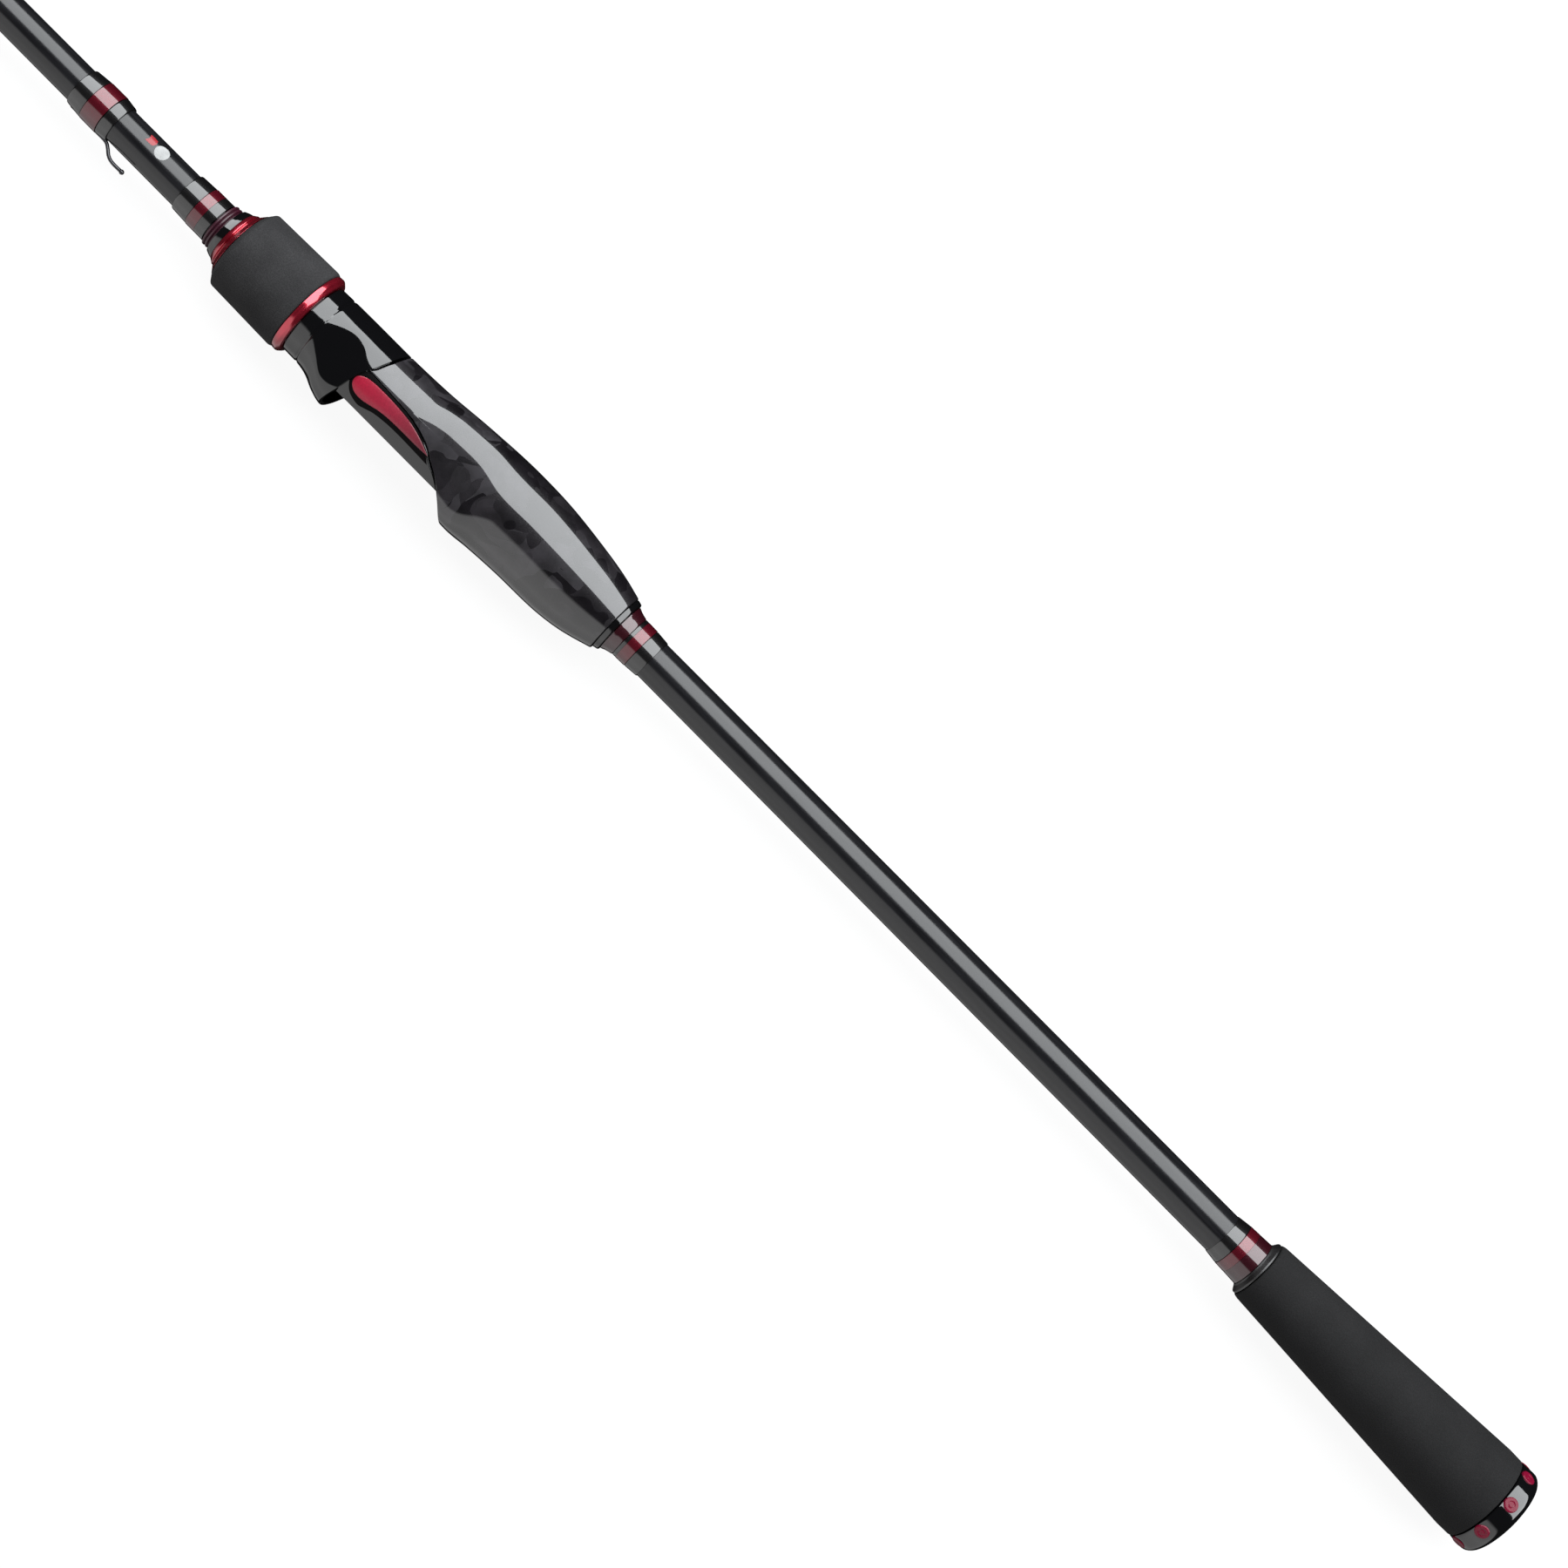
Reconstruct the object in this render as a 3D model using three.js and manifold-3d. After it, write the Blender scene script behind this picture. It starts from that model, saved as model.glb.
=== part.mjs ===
// A two-piece spinning rod lying on its side. Millimetres, +Z up.
// X runs along the rod, +X towards the butt. The reel bed faces -Y, and its middle is the origin.
// The rod's axis is the line y = BED_DEPTH, z = 0, and every piece below is drawn about that axis:
// its y is measured from the axis, negative on the reel side.
import * as THREE from "three";
import { mergeVertices } from "three/addons/utils/BufferGeometryUtils.js";
import Module from "manifold-3d";

const wasm = await Module();
wasm.setup();

// ---------------------------------------------------------------- driving dimensions

const ROD_LENGTH = 2438;
const BUTT_END = 422.4;
const TIP_END = BUTT_END - ROD_LENGTH;
const BED_DEPTH = 9.3;

const GAP = 0.3; // between pieces that meet end to end or slide past each other
const FILM = 0.15; // glue line between nested round pieces
const OVER = 5; // how far a cutting tool runs past what it cuts

// Blank: [x, outer radius]. The tip section's thick end slides over the butt section's thin end.
const BLANK_TAPER = [[-2010, 1.05], [-148, 5.41], [418, 6.48]];
const BLANK_END = 418;
const BLANK_WALL = 1.1;
const FERRULE_MOUTH = -745;
const FERRULE_BOTTOM = -822;
const FERRULE_WALL = 0.9;
const FERRULE_FADE = -880;
const TIP_BLANK_END = TIP_END + 5;
const TIP_BLANK_BORE = 0.5;

// Butt: cap, its studs and the rear grip.
const CAP_FRONT = 414.8;
const CAP_RADIUS = 14.3;
const CAP_CAVITY = 11.9;
const CAP_FLOOR = 419.4;
const CAP_EDGE = [[2.2, 0], [0.8, 1.2], [0, 4]]; // the rounded end: in from the end, in from the radius
const INSERT_WALL = 2.4;
const STUD = { x: 417.1, radius: 2, count: 8, root: 1.5, sunk: 0.1 };
const STUD_FIRST_ANGLE = THREE.MathUtils.degToRad(15);
const REAR_GRIP = { front: 326.7, frontRadius: 9.4, swell: 410, radius: 14.2 };
const REAR_CHECK = [[324.5, 7.4], [325.4, 8.7], [326.4, 9.1]];

// Reel seat: barrel with its thread, bed, fixed hood and palm shell.
const BARREL = { front: -67.8, shoulder: -44.5, back: 76.7, radius: 9.1, core: 8.3, bore: 7.2 };
const THREAD = { front: -66.6, back: -48.6, pitch: 3, steps: 16, rootWidth: 1.5, crestWidth: 0.8 };
const BED = { front: -21.5, back: 18.3, stepTop: 24.3, stepDepth: 14.2, hoodLip: 26.2, lipDepth: 15.3 };
const SHELL_BACK = 76.7;
const SEAT_SKIN = { front: -26, back: 80, stations: 18 };
const SEAT_TOP = [[-45, 11.5], [-14, 11.6], [2, 12.2], [34, 14.3], [60, 12.5], [80, 8.4]];
const SEAT_UNDERSIDE = [[-45, 14], [-14, 14], [18, 14.5], [27, 15.1], [44, 13.8], [60, 13.3], [80, 8.8]];
const SEAT_HALF_WIDTH = [[-45, 11.6], [-14, 11.7], [2, 12], [34, 13], [60, 11.8], [80, 8.5]];
// The palm shell's lower front edge, from the hood back to the fixed hood, as [x, y].
const SHELL_EDGE = [[-18.6, 0.2], [-7, -0.7], [1, -2], [8.3, -4.7], [14.3, -7.9], [18.3, -9.9]];
// The slanted rear rim of the moving hood, from its top to its reel side, as [x, y].
const HOOD_RIM = [[-13.3, 13], [-14.3, 10], [-17.5, 3], [-19.6, -1], [-21.6, -5], [-22.1, -17]];
const RIM_GAP = 0.6;
const FIXED_POCKET = [[10, -9.45], [10, -13.7], [29, -13.65], [39, -11.2], [39, -9.45]];
const POCKET_HALF_WIDTH = 8.5;
const POCKET_WALL = 1.2;
const RECESS_DEPTH = 1.2;
// The inlay's teardrop seen from the side, as [x, y]: a round front end that tapers to a point.
const INLAY_OUTLINE = [
  [8.3, -4.9], [1.5, -3], [-5.5, -1.9], [-13, -1.6], [-18, -2.4],
  [-19.7, -4.4], [-17.6, -6.5], [-13, -7.2], [-7, -6.8], [1, -5.6], [8.3, -4.9],
];
const INLAY_STEPS = 20;
const ARBORS = [["arbor_front", -64, -50], ["arbor_rear", 50, 64]];
const SEAT_RING = { front: 77, back: 78.6, frontRadius: 8.9, backRadius: 8.5 };

// Moving hood and the nut with its foregrip, which turns in front of it.
const HOOD = { neckFront: -42.3, flangeBack: -41.5, collar: -39.6, flange: 10.9, neck: 10.2 };
const HOOD_TOP = [[-39.6, 11.4], [-34, 11.5], [-12, 11.6]];
const HOOD_UNDERSIDE = [[-39.6, 11.5], [-33, 11.8], [-30, 12.6], [-26, 14.3], [-22.5, 15.2], [-12, 15.4]];
const HOOD_HALF_WIDTH = [[-39.6, 11.5], [-33, 11.6], [-26, 12.2], [-12, 12.3]];
const HOOD_MOUTH = -12;
const HOOD_STATIONS = 12;
const HOOD_WALL = 1.1;
const HOOD_POCKET = [[-33.5, -9], [-33.5, -10.4], [-26, -13.1], [-24, -14], [0, -14.2], [0, -9]];
const KEY = { front: -56, back: -24, width: 1.8, bottom: 8.6 };
const NUT = { front: -68, back: -42.6, radius: 10.2, bore: 9.4, threadFront: -58, threadBack: -49 };
const FOREGRIP = [[-68.3, 10.8], [-66.2, 13.3], [-65.2, 13.4], [-43.5, 13.7], [-42.7, 13.4]];
const FOREGRIP_BORE = 10.4;
const FRONT_RING = [[-73.4, 7.75], [-72.5, 8], [-71.2, 8.9], [-70.9, 8.6], [-70.3, 9.1], [-68.6, 10.4]];
const FRONT_RING_BORE = 7.3;
const REAR_RING = [[-42.4, 13.4], [-41, 13.4], [-39.9, 12.4]];

// Thread wraps: where each starts and ends, its radius there, and the band of accent thread on it.
const WRAPS = [
  { name: "rear", from: 312.6, to: 324.2, radii: [6.85, 7.3], band: [316.7, 320.2] },
  { name: "seat_rear", from: 78.9, to: 91.7, radii: [6.75, 6.4], band: [83.8, 87.4], cone: [82.9, 7.9] },
  { name: "front", from: -88.6, to: -76.5, radii: [6.3, 6.45], band: [-83.1, -79.5] },
  { name: "keeper", from: -129.3, to: -114.3, radii: [6.6, 6.6], band: [-124, -117.9], foot: 0.7 },
];
const GROOVE_FLOOR = 0.2; // thickness of a wrap left under its accent band
const BAND_PROUD = 0.1;
const FRONT_CHECK = { front: -76.2, back: -72.9, ridges: 3, low: 6.4, high: 7 };

// Hook keeper: an open J of wire on the reel side, as [x, y] along its middle.
const KEEPER_PATH = [[-113.5, -6.1], [-112.6, -6.9], [-110.8, -8.3], [-108.8, -8.9], [-105.2, -8.9]];
const KEEPER_WIRE = 0.53;
const KEEPER_BALL = 0.8;
const KEEPER_STEPS = 14;
const KEEPER_FOOT = { front: -128, back: -113, top: -6.2, bottom: -5.7, width: 1.8 };

// Line guides from the reel to the tip: distance of the ring from the tip, clear radius, insert and
// frame radius, height of the ring's centre over the axis, wire radius and foot length.
const STRIPPER = "stripper_guide";
const GUIDES = [
  { name: STRIPPER, fromTip: 1346, bore: 10.2, insert: 12.3, frame: 13.6, height: 30, wire: 1, foot: 15 },
  { name: "guide_2", fromTip: 991, bore: 6.3, insert: 7.9, frame: 9.1, height: 22, wire: 0.85, foot: 12 },
  { name: "guide_3", fromTip: 724, bore: 3.9, insert: 5.1, frame: 6.1, height: 15.5, wire: 0.7, foot: 10 },
  { name: "guide_4", fromTip: 521, bore: 3.1, insert: 4.2, frame: 5.1, height: 12, wire: 0.6, foot: 8.5 },
  { name: "guide_5", fromTip: 356, bore: 2.6, insert: 3.6, frame: 4.5, height: 10, wire: 0.55, foot: 8 },
  { name: "guide_6", fromTip: 216, bore: 2.2, insert: 3.1, frame: 3.9, height: 8.5, wire: 0.5, foot: 7 },
  { name: "guide_7", fromTip: 102, bore: 2.2, insert: 3.1, frame: 3.9, height: 7.8, wire: 0.5, foot: 7 },
];
const GUIDE_LEAN = THREE.MathUtils.degToRad(14); // the rings lean towards the tip
const REAR_FOOT = 0.55; // how far towards the butt a foot starts, as a share of the ring's height
const FRONT_FOOT = -0.41; // the stripper guide's second foot, towards the tip
const LEG_SPREAD = THREE.MathUtils.degToRad(58); // where the legs leave the ring, from its low point
const LEG_TOE = 1.5; // how far the legs run along the foot, and how far before it they start to bend
const LEG_STEPS = 4;
const RING_EDGE = 0.4; // chamfer on a ceramic ring
const WRAP_START = 2; // a guide's wrap starts this far along the foot
const WRAP_OVERRUN = 3; // and ends this far past it
const WRAP_COVER = 0.6;
const BINDING = 0.4;
const TIP_TOP = { fromTip: 1.1, bore: 2.2, insert: 3.1, frame: 3.9, height: 5.6, wire: 0.45 };
const TIP_TUBE = { front: TIP_END + 1.9, back: TIP_END + 17, radius: 1.8 };
const TIP_SOCKET_FLOOR = TIP_END + 4.5;
const TIP_LEG_FOOT = TIP_END + 10;
const TIP_STEM = { front: TIP_END + 0.6, back: TIP_END + 3.9, bottom: -0.8, halfWidth: 0.8 };
const TIP_WRAP_LENGTH = 7.7;
const FERRULE_WRAPS = { inset: 1, length: 12.5 };

// Sizes that grow with a ring's clear radius.
const growing = (base, share) => (bore) => base + share * bore;
const footThickness = growing(0.5, 0.04);
const footWidth = growing(1.6, 0.12);
const insertHalfLength = growing(0.5, 0.06);
const frameHalfLength = growing(0.4, 0.04);

const HANDLE_SIDES = 24;
const BLANK_SIDES = 20;
const RING_SIDES = 16;
const STUD_SIDES = 10;
const BALL_SIDES = 8;
const SEAT_SIDES = 22;
const HALF_WIRE_SIDES = 3;

// ---------------------------------------------------------------- colours

function finish(color, roughness, metalness) {
  return new THREE.MeshStandardMaterial({ color, roughness, metalness });
}
const CARBON = finish(0x1c1d1f, 0.35, 0.1);
const FOAM = finish(0x3a3a3c, 0.95, 0);
const GLOSS_BLACK = finish(0x0c0c0d, 0.15, 0);
const GRAPHITE = finish(0x2b2b2e, 0.2, 0.1);
const RED = finish(0xb3121f, 0.25, 0.3);
const BURGUNDY = finish(0x4a0f1d, 0.3, 0.1);
const EPOXY_BLACK = finish(0x0e0d0f, 0.12, 0);
const GUNMETAL = finish(0x55565a, 0.25, 0.9);
const CERAMIC = finish(0x26282c, 0.1, 0.2);
const ARBOR = finish(0x9b8a63, 0.9, 0);

// ---------------------------------------------------------------- shaping tools

const rod = new THREE.Group();
rod.position.y = BED_DEPTH;

function piece(name, geometry, material) {
  const mesh = new THREE.Mesh(geometry, material);
  mesh.name = name;
  rod.add(mesh);
}

// A function of x that runs through the given [x, value] points, smoothly or in straight lines.
function through(points, Kind) {
  const curve = new Kind(points.map((p) => p[0]), points.map((p) => p[1]), 1);
  return (x) => curve.evaluate(x)[0];
}
const smooth = (points) => through(points, THREE.CubicInterpolant);
const blankRadius = through(BLANK_TAPER, THREE.LinearInterpolant);
const overBlank = (x) => [x, blankRadius(x) + FILM];

// A round solid about the rod's axis: a closed outline of [x, radius] points.
function turned(outline, sides) {
  const points = outline.map(([x, radius]) => new THREE.Vector2(radius, x));
  return new THREE.LatheGeometry(points, sides).rotateZ(-Math.PI / 2);
}

// A round tube: its outside and its inside, both as [x, radius] points with x rising.
function sleeve(outside, inside, sides = HANDLE_SIDES) {
  const outline = [...outside, ...inside.toReversed(), outside[0]];
  return turned(outline, sides);
}

function solid(geometry) {
  const bare = geometry.clone();
  bare.deleteAttribute("normal");
  bare.deleteAttribute("uv");
  const merged = mergeVertices(bare);
  const vertProperties = merged.getAttribute("position").array;
  const triVerts = new Uint32Array(merged.index.array);
  return new wasm.Manifold(new wasm.Mesh({ numProp: 3, vertProperties, triVerts }));
}

function geometryOf(manifold) {
  const { vertProperties, triVerts } = manifold.getMesh();
  const geometry = new THREE.BufferGeometry();
  geometry.setAttribute("position", new THREE.BufferAttribute(vertProperties, 3));
  geometry.setIndex(new THREE.BufferAttribute(triVerts, 1));
  return geometry;
}

const join = (first, ...others) => others.reduce((sum, other) => sum.add(other), first);
const cut = (first, ...others) => others.reduce((rest, other) => rest.subtract(other), first);

function block(x0, x1, y0, y1, z0, z1) {
  const box = new THREE.BoxGeometry(x1 - x0, y1 - y0, z1 - z0);
  return solid(box.translate((x0 + x1) / 2, (y0 + y1) / 2, (z0 + z1) / 2));
}

function cylinder(x0, x1, radius, sides = HANDLE_SIDES) {
  return solid(turned([[x0, 0], [x0, radius], [x1, radius], [x1, 0]], sides));
}

// A flat outline of [x, y] points, carried from z0 up to z1.
function prism(outline, z0, z1) {
  const shape = new THREE.Shape(outline.map(([x, y]) => new THREE.Vector2(x, y)));
  const geometry = new THREE.ExtrudeGeometry(shape, { depth: z1 - z0, bevelEnabled: false });
  return solid(geometry.translate(0, 0, z0));
}

function wire(path, radius, steps) {
  const section = new THREE.Shape();
  section.absarc(0, 0, radius, 0, 2 * Math.PI);
  const options = { steps, bevelEnabled: false, extrudePath: path, curveSegments: HALF_WIRE_SIDES };
  return solid(new THREE.ExtrudeGeometry(section, options));
}

// Skins rings of points, each with the same count, into one closed body, x rising from ring to ring.
function skinned(rings) {
  const around = rings[0].length;
  const points = rings.flat();
  const indices = [];
  for (let i = 0; i + 1 < rings.length; i++) {
    for (let j = 0; j < around; j++) {
      const next = (j + 1) % around;
      const [a, b] = [i * around + j, i * around + next];
      indices.push(a, b, b + around, a, b + around, a + around);
    }
  }
  const last = (rings.length - 1) * around;
  for (let j = 1; j + 1 < around; j++) {
    indices.push(0, j + 1, j, last, last + j, last + j + 1);
  }
  const geometry = new THREE.BufferGeometry().setFromPoints(points);
  geometry.setIndex(indices);
  return solid(geometry);
}

// The seat's and the hood's skin: an oval section whose top, underside and half width follow x.
function oval(x0, x1, stations, top, underside, halfWidth, inset = 0) {
  const rings = [];
  for (let i = 0; i <= stations; i++) {
    const x = THREE.MathUtils.lerp(x0, x1, i / stations);
    const ring = [];
    for (let j = 0; j < SEAT_SIDES; j++) {
      const angle = (2 * Math.PI * j) / SEAT_SIDES;
      const reach = Math.cos(angle) > 0 ? top(x) : underside(x);
      const y = (reach - inset) * Math.cos(angle);
      const z = (halfWidth(x) - inset) * Math.sin(angle);
      ring.push(new THREE.Vector3(x, y, z));
    }
    rings.push(ring);
  }
  return skinned(rings);
}

// A helical ridge about the axis. Its root and crest are radii, and a crest under its root points inwards.
function helix(front, back, root, crest) {
  const turns = (back - front) / THREAD.pitch;
  const count = Math.round(turns * THREAD.steps);
  const rings = [];
  for (let i = 0; i <= count; i++) {
    const angle = (2 * Math.PI * i) / THREAD.steps;
    const x = front + (THREAD.pitch * i) / THREAD.steps;
    const [rootHalf, crestHalf] = [THREAD.rootWidth / 2, THREAD.crestWidth / 2];
    const corners = [[-rootHalf, root], [-crestHalf, crest], [crestHalf, crest], [rootHalf, root]];
    const ring = corners.map(([offset, radius]) => {
      return new THREE.Vector3(x + offset, radius * Math.cos(angle), radius * Math.sin(angle));
    });
    rings.push(crest > root ? ring.toReversed() : ring);
  }
  return skinned(rings);
}

// ---------------------------------------------------------------- blank and butt

function buttBlank() {
  const ends = [FERRULE_BOTTOM + GAP, BLANK_TAPER[1][0], BLANK_END];
  const outside = ends.map((x) => [x, blankRadius(x)]);
  const inside = ends.map((x) => [x, blankRadius(x) - BLANK_WALL]);
  return sleeve(outside, inside, BLANK_SIDES);
}

function buttCap() {
  const cup = [
    [CAP_FLOOR, 0],
    [CAP_FLOOR, CAP_CAVITY],
    [CAP_FRONT, CAP_CAVITY],
    [CAP_FRONT, CAP_RADIUS],
    ...CAP_EDGE.map(([inX, inRadius]) => [BUTT_END - inX, CAP_RADIUS - inRadius]),
    [BUTT_END, 0],
  ];
  return geometryOf(cut(solid(turned(cup, HANDLE_SIDES)), ...studs(STUD.radius + GAP, CAP_RADIUS + OVER)));
}

// Round studs that point outwards, evenly spaced about the axis.
function studs(radius, reach) {
  const inner = CAP_CAVITY - STUD.root;
  return Array.from({ length: STUD.count }, (_, i) => {
    const stud = new THREE.CylinderGeometry(radius, radius, reach - inner, STUD_SIDES);
    stud.translate(0, (reach + inner) / 2, 0);
    stud.rotateX(Math.PI / 2 - STUD_FIRST_ANGLE - (2 * Math.PI * i) / STUD.count);
    return solid(stud.translate(STUD.x, 0, 0));
  });
}

function capInsertRing() {
  const [front, back] = [CAP_FRONT + GAP, CAP_FLOOR - GAP];
  const outer = CAP_CAVITY - GAP;
  const inner = outer - INSERT_WALL;
  const ring = sleeve([[front, outer], [back, outer]], [[front, inner], [back, inner]]);
  return geometryOf(join(solid(ring), ...studs(STUD.radius, CAP_RADIUS - STUD.sunk)));
}

function rearGrip() {
  const { front, frontRadius, swell, radius } = REAR_GRIP;
  const back = CAP_FRONT - GAP;
  return onBlank([[front, frontRadius], [swell, radius], [back, radius]]);
}

// A sleeve that sits on the blank: its outside as [x, radius] points.
function onBlank(outside, sides) {
  return sleeve(outside, [overBlank(outside[0][0]), overBlank(outside.at(-1)[0])], sides);
}

// ---------------------------------------------------------------- thread wraps

function wrap({ name, from, to, radii, band, cone, foot }) {
  const radiusAt = through([[from, radii[0]], [to, radii[1]]], THREE.LinearInterpolant);
  const floorAt = (x) => blankRadius(x) + (foot ?? 0) + FILM + GROOVE_FLOOR;
  const [bandFront, bandBack] = band;
  const start = cone ? [[from, cone[1]], [cone[0], radiusAt(cone[0])]] : [[from, radiusAt(from)]];
  const outside = [
    ...start,
    [bandFront, radiusAt(bandFront)],
    [bandFront, floorAt(bandFront)],
    [bandBack, floorAt(bandBack)],
    [bandBack, radiusAt(bandBack)],
    [to, radiusAt(to)],
  ];
  const body = onBlank(outside, BLANK_SIDES);
  const edges = [bandFront + FILM, bandBack - FILM];
  const accentOutside = edges.map((x) => [x, radiusAt(x) + BAND_PROUD]);
  const accentInside = edges.map((x) => [x, floorAt(x) + FILM / 2]);
  const accent = sleeve(accentOutside, accentInside, BLANK_SIDES);
  piece(`${name}_wrap`, foot ? geometryOf(cut(solid(body), keeperChannel(to))) : body, EPOXY_BLACK);
  piece(`${name}_band`, accent, RED);
}

// The room that the keeper's foot takes up in its wrap.
function keeperChannel(wrapEnd) {
  const { front, top, width } = KEEPER_FOOT;
  const halfWidth = width / 2 + GAP;
  return block(front - GAP, wrapEnd + OVER, top - FILM, 0, -halfWidth, halfWidth);
}

function frontCheck() {
  const { front, back, ridges, low, high } = FRONT_CHECK;
  const step = (back - front) / ridges;
  const outside = Array.from({ length: ridges }, (_, i) => [
    [front + i * step, low],
    [front + (i + 0.5) * step, high],
  ]).flat();
  outside.push([back, low]);
  return onBlank(outside, BLANK_SIDES);
}

// The hook's wire ends in a small ball. Its flat foot is bound to the blank by the wrap.
function hookKeeper() {
  const path = new THREE.CatmullRomCurve3(KEEPER_PATH.map(([x, y]) => new THREE.Vector3(x, y, 0)));
  const hook = wire(path, KEEPER_WIRE, KEEPER_STEPS);
  const [ballX, ballY] = KEEPER_PATH.at(-1);
  const sphere = new THREE.SphereGeometry(KEEPER_BALL, BALL_SIDES, BALL_SIDES / 2);
  const ball = solid(sphere.translate(ballX, ballY, 0));
  const { front, back, top, bottom, width } = KEEPER_FOOT;
  return geometryOf(join(hook, ball, block(front, back, top, bottom, -width / 2, width / 2)));
}

// ---------------------------------------------------------------- reel seat

const seatTop = smooth(SEAT_TOP);
const seatUnderside = smooth(SEAT_UNDERSIDE);
const seatHalfWidth = smooth(SEAT_HALF_WIDTH);
const WIDE = 20; // past the seat's skin on every side

function seatSkin(inset) {
  const { front, back, stations } = SEAT_SKIN;
  return oval(front, back, stations, seatTop, seatUnderside, seatHalfWidth, inset);
}

// The room over the reel bed: flat along the bed, then up the slanted mouth of the fixed hood.
function bedRoom() {
  const { front, back, stepTop, stepDepth, hoodLip, lipDepth } = BED;
  const outline = [
    [front - WIDE, -BED_DEPTH],
    [front - WIDE, -WIDE],
    [hoodLip, -WIDE],
    [hoodLip, -lipDepth],
    [stepTop, -stepDepth],
    [back, -BED_DEPTH],
  ];
  return prism(outline, -WIDE, WIDE);
}

// The teardrop's outline, drawn in by the inset all round.
function teardrop(inset) {
  const curve = new THREE.SplineCurve(INLAY_OUTLINE.map(([x, y]) => new THREE.Vector2(x, y)));
  const outline = curve.getPoints(INLAY_STEPS).slice(1).map((p) => [p.x, p.y]);
  return new wasm.CrossSection([outline]).offset(-inset, "Miter").toPolygons()[0];
}

function seatBody() {
  const { front, shoulder, back, radius, core, bore } = BARREL;
  const smoothPart = cylinder(shoulder, back, radius);
  const threadedPart = cylinder(front, shoulder + GAP, core);
  const thread = helix(THREAD.front, THREAD.back, core - GAP, radius);
  const edge = SHELL_EDGE.map(([x, y]) => [x, y - GAP]);
  const rim = HOOD_RIM.filter(([, y]) => y < edge[0][1]).map(([x, y]) => [x + RIM_GAP, y]);
  const tongueOutline = [[BED.back, -WIDE], ...edge.toReversed(), ...rim, [rim.at(-1)[0], -WIDE]];
  const recesses = cut(prism(teardrop(0), -WIDE, WIDE), seatSkin(RECESS_DEPTH));
  const tongue = cut(seatSkin(0).intersect(prism(tongueOutline, -WIDE, WIDE)), bedRoom(), recesses);
  const keyHalfWidth = KEY.width / 2 + GAP;
  const keyway = block(KEY.front, BED.front - GAP, core - GAP, WIDE, -keyHalfWidth, keyHalfWidth);
  const passage = cylinder(front - OVER, back + OVER, bore);
  return geometryOf(cut(join(smoothPart, threadedPart, thread, tongue), keyway, passage));
}

function palmShell() {
  const rim = HOOD_RIM.filter(([, y]) => y > SHELL_EDGE[0][1] + 1).map(([x, y]) => [x + RIM_GAP, y]);
  const outline = [[SHELL_BACK, -WIDE], [SHELL_BACK, WIDE], [rim[0][0], WIDE], ...rim, ...SHELL_EDGE];
  outline.push([BED.back, -WIDE]);
  const skin = seatSkin(0).intersect(prism(outline, -WIDE, WIDE));
  const barrelRoom = cylinder(SEAT_SKIN.front, SEAT_SKIN.back, BARREL.radius + GAP);
  const pocket = prism(FIXED_POCKET, -POCKET_HALF_WIDTH, POCKET_HALF_WIDTH);
  return geometryOf(cut(skin, bedRoom(), barrelRoom, pocket.intersect(seatSkin(POCKET_WALL))));
}

function inlay(side) {
  const outline = prism(teardrop(GAP), Math.min(0, side * WIDE), Math.max(0, side * WIDE));
  return geometryOf(cut(outline.intersect(seatSkin(0)), seatSkin(RECESS_DEPTH - GAP)));
}

function seatRing() {
  const { front, back, frontRadius, backRadius } = SEAT_RING;
  return onBlank([[front, frontRadius], [back, backRadius]]);
}

function arbor(front, back) {
  const outer = BARREL.bore - FILM;
  return onBlank([[front, outer], [back, outer]], BLANK_SIDES);
}

// ---------------------------------------------------------------- moving hood, nut and foregrip

// The hood's skin, straight through to its mouth.
function hoodSkin(inset) {
  const [top, underside, halfWidth] = [HOOD_TOP, HOOD_UNDERSIDE, HOOD_HALF_WIDTH].map(smooth);
  return oval(HOOD.collar, HOOD_MOUTH, HOOD_STATIONS, top, underside, halfWidth, inset);
}

function movingHood() {
  const { neckFront, flangeBack, collar, flange, neck } = HOOD;
  const [rimTop, rimEnd] = [HOOD_RIM[0][0], HOOD_RIM.at(-1)[0]];
  const rimRoom = prism([...HOOD_RIM, [rimEnd, -WIDE], [0, -WIDE], [0, WIDE], [rimTop, WIDE]], -WIDE, WIDE);
  const neckRing = join(cylinder(neckFront, flangeBack, flange), cylinder(neckFront, collar + GAP, neck));
  const pocket = prism(HOOD_POCKET, -WIDE, WIDE).intersect(hoodSkin(HOOD_WALL));
  const bore = cylinder(neckFront - OVER, 0, BARREL.radius + GAP);
  const tube = cut(join(cut(hoodSkin(0), rimRoom), neckRing), pocket, bore);
  const keyTop = BARREL.radius + 2 * GAP;
  const key = block(collar, KEY.back, KEY.bottom, keyTop, -KEY.width / 2, KEY.width / 2);
  return geometryOf(join(tube, key));
}

function lockingNut() {
  const { front, back, radius, bore, threadFront, threadBack } = NUT;
  const body = sleeve([[front, radius], [back, radius]], [[front, bore], [back, bore]]);
  const halfPitch = THREAD.pitch / 2;
  const turnsApart = Math.round((threadFront - THREAD.front) / THREAD.pitch);
  const start = THREAD.front + turnsApart * THREAD.pitch + halfPitch;
  const ridge = helix(start, start + threadBack - threadFront, bore + GAP, BARREL.core + GAP);
  return geometryOf(join(solid(body), ridge));
}

// A tube whose bore is one radius from end to end.
function bored(outside, bore) {
  return sleeve(outside, [[outside[0][0], bore], [outside.at(-1)[0], bore]]);
}

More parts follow.
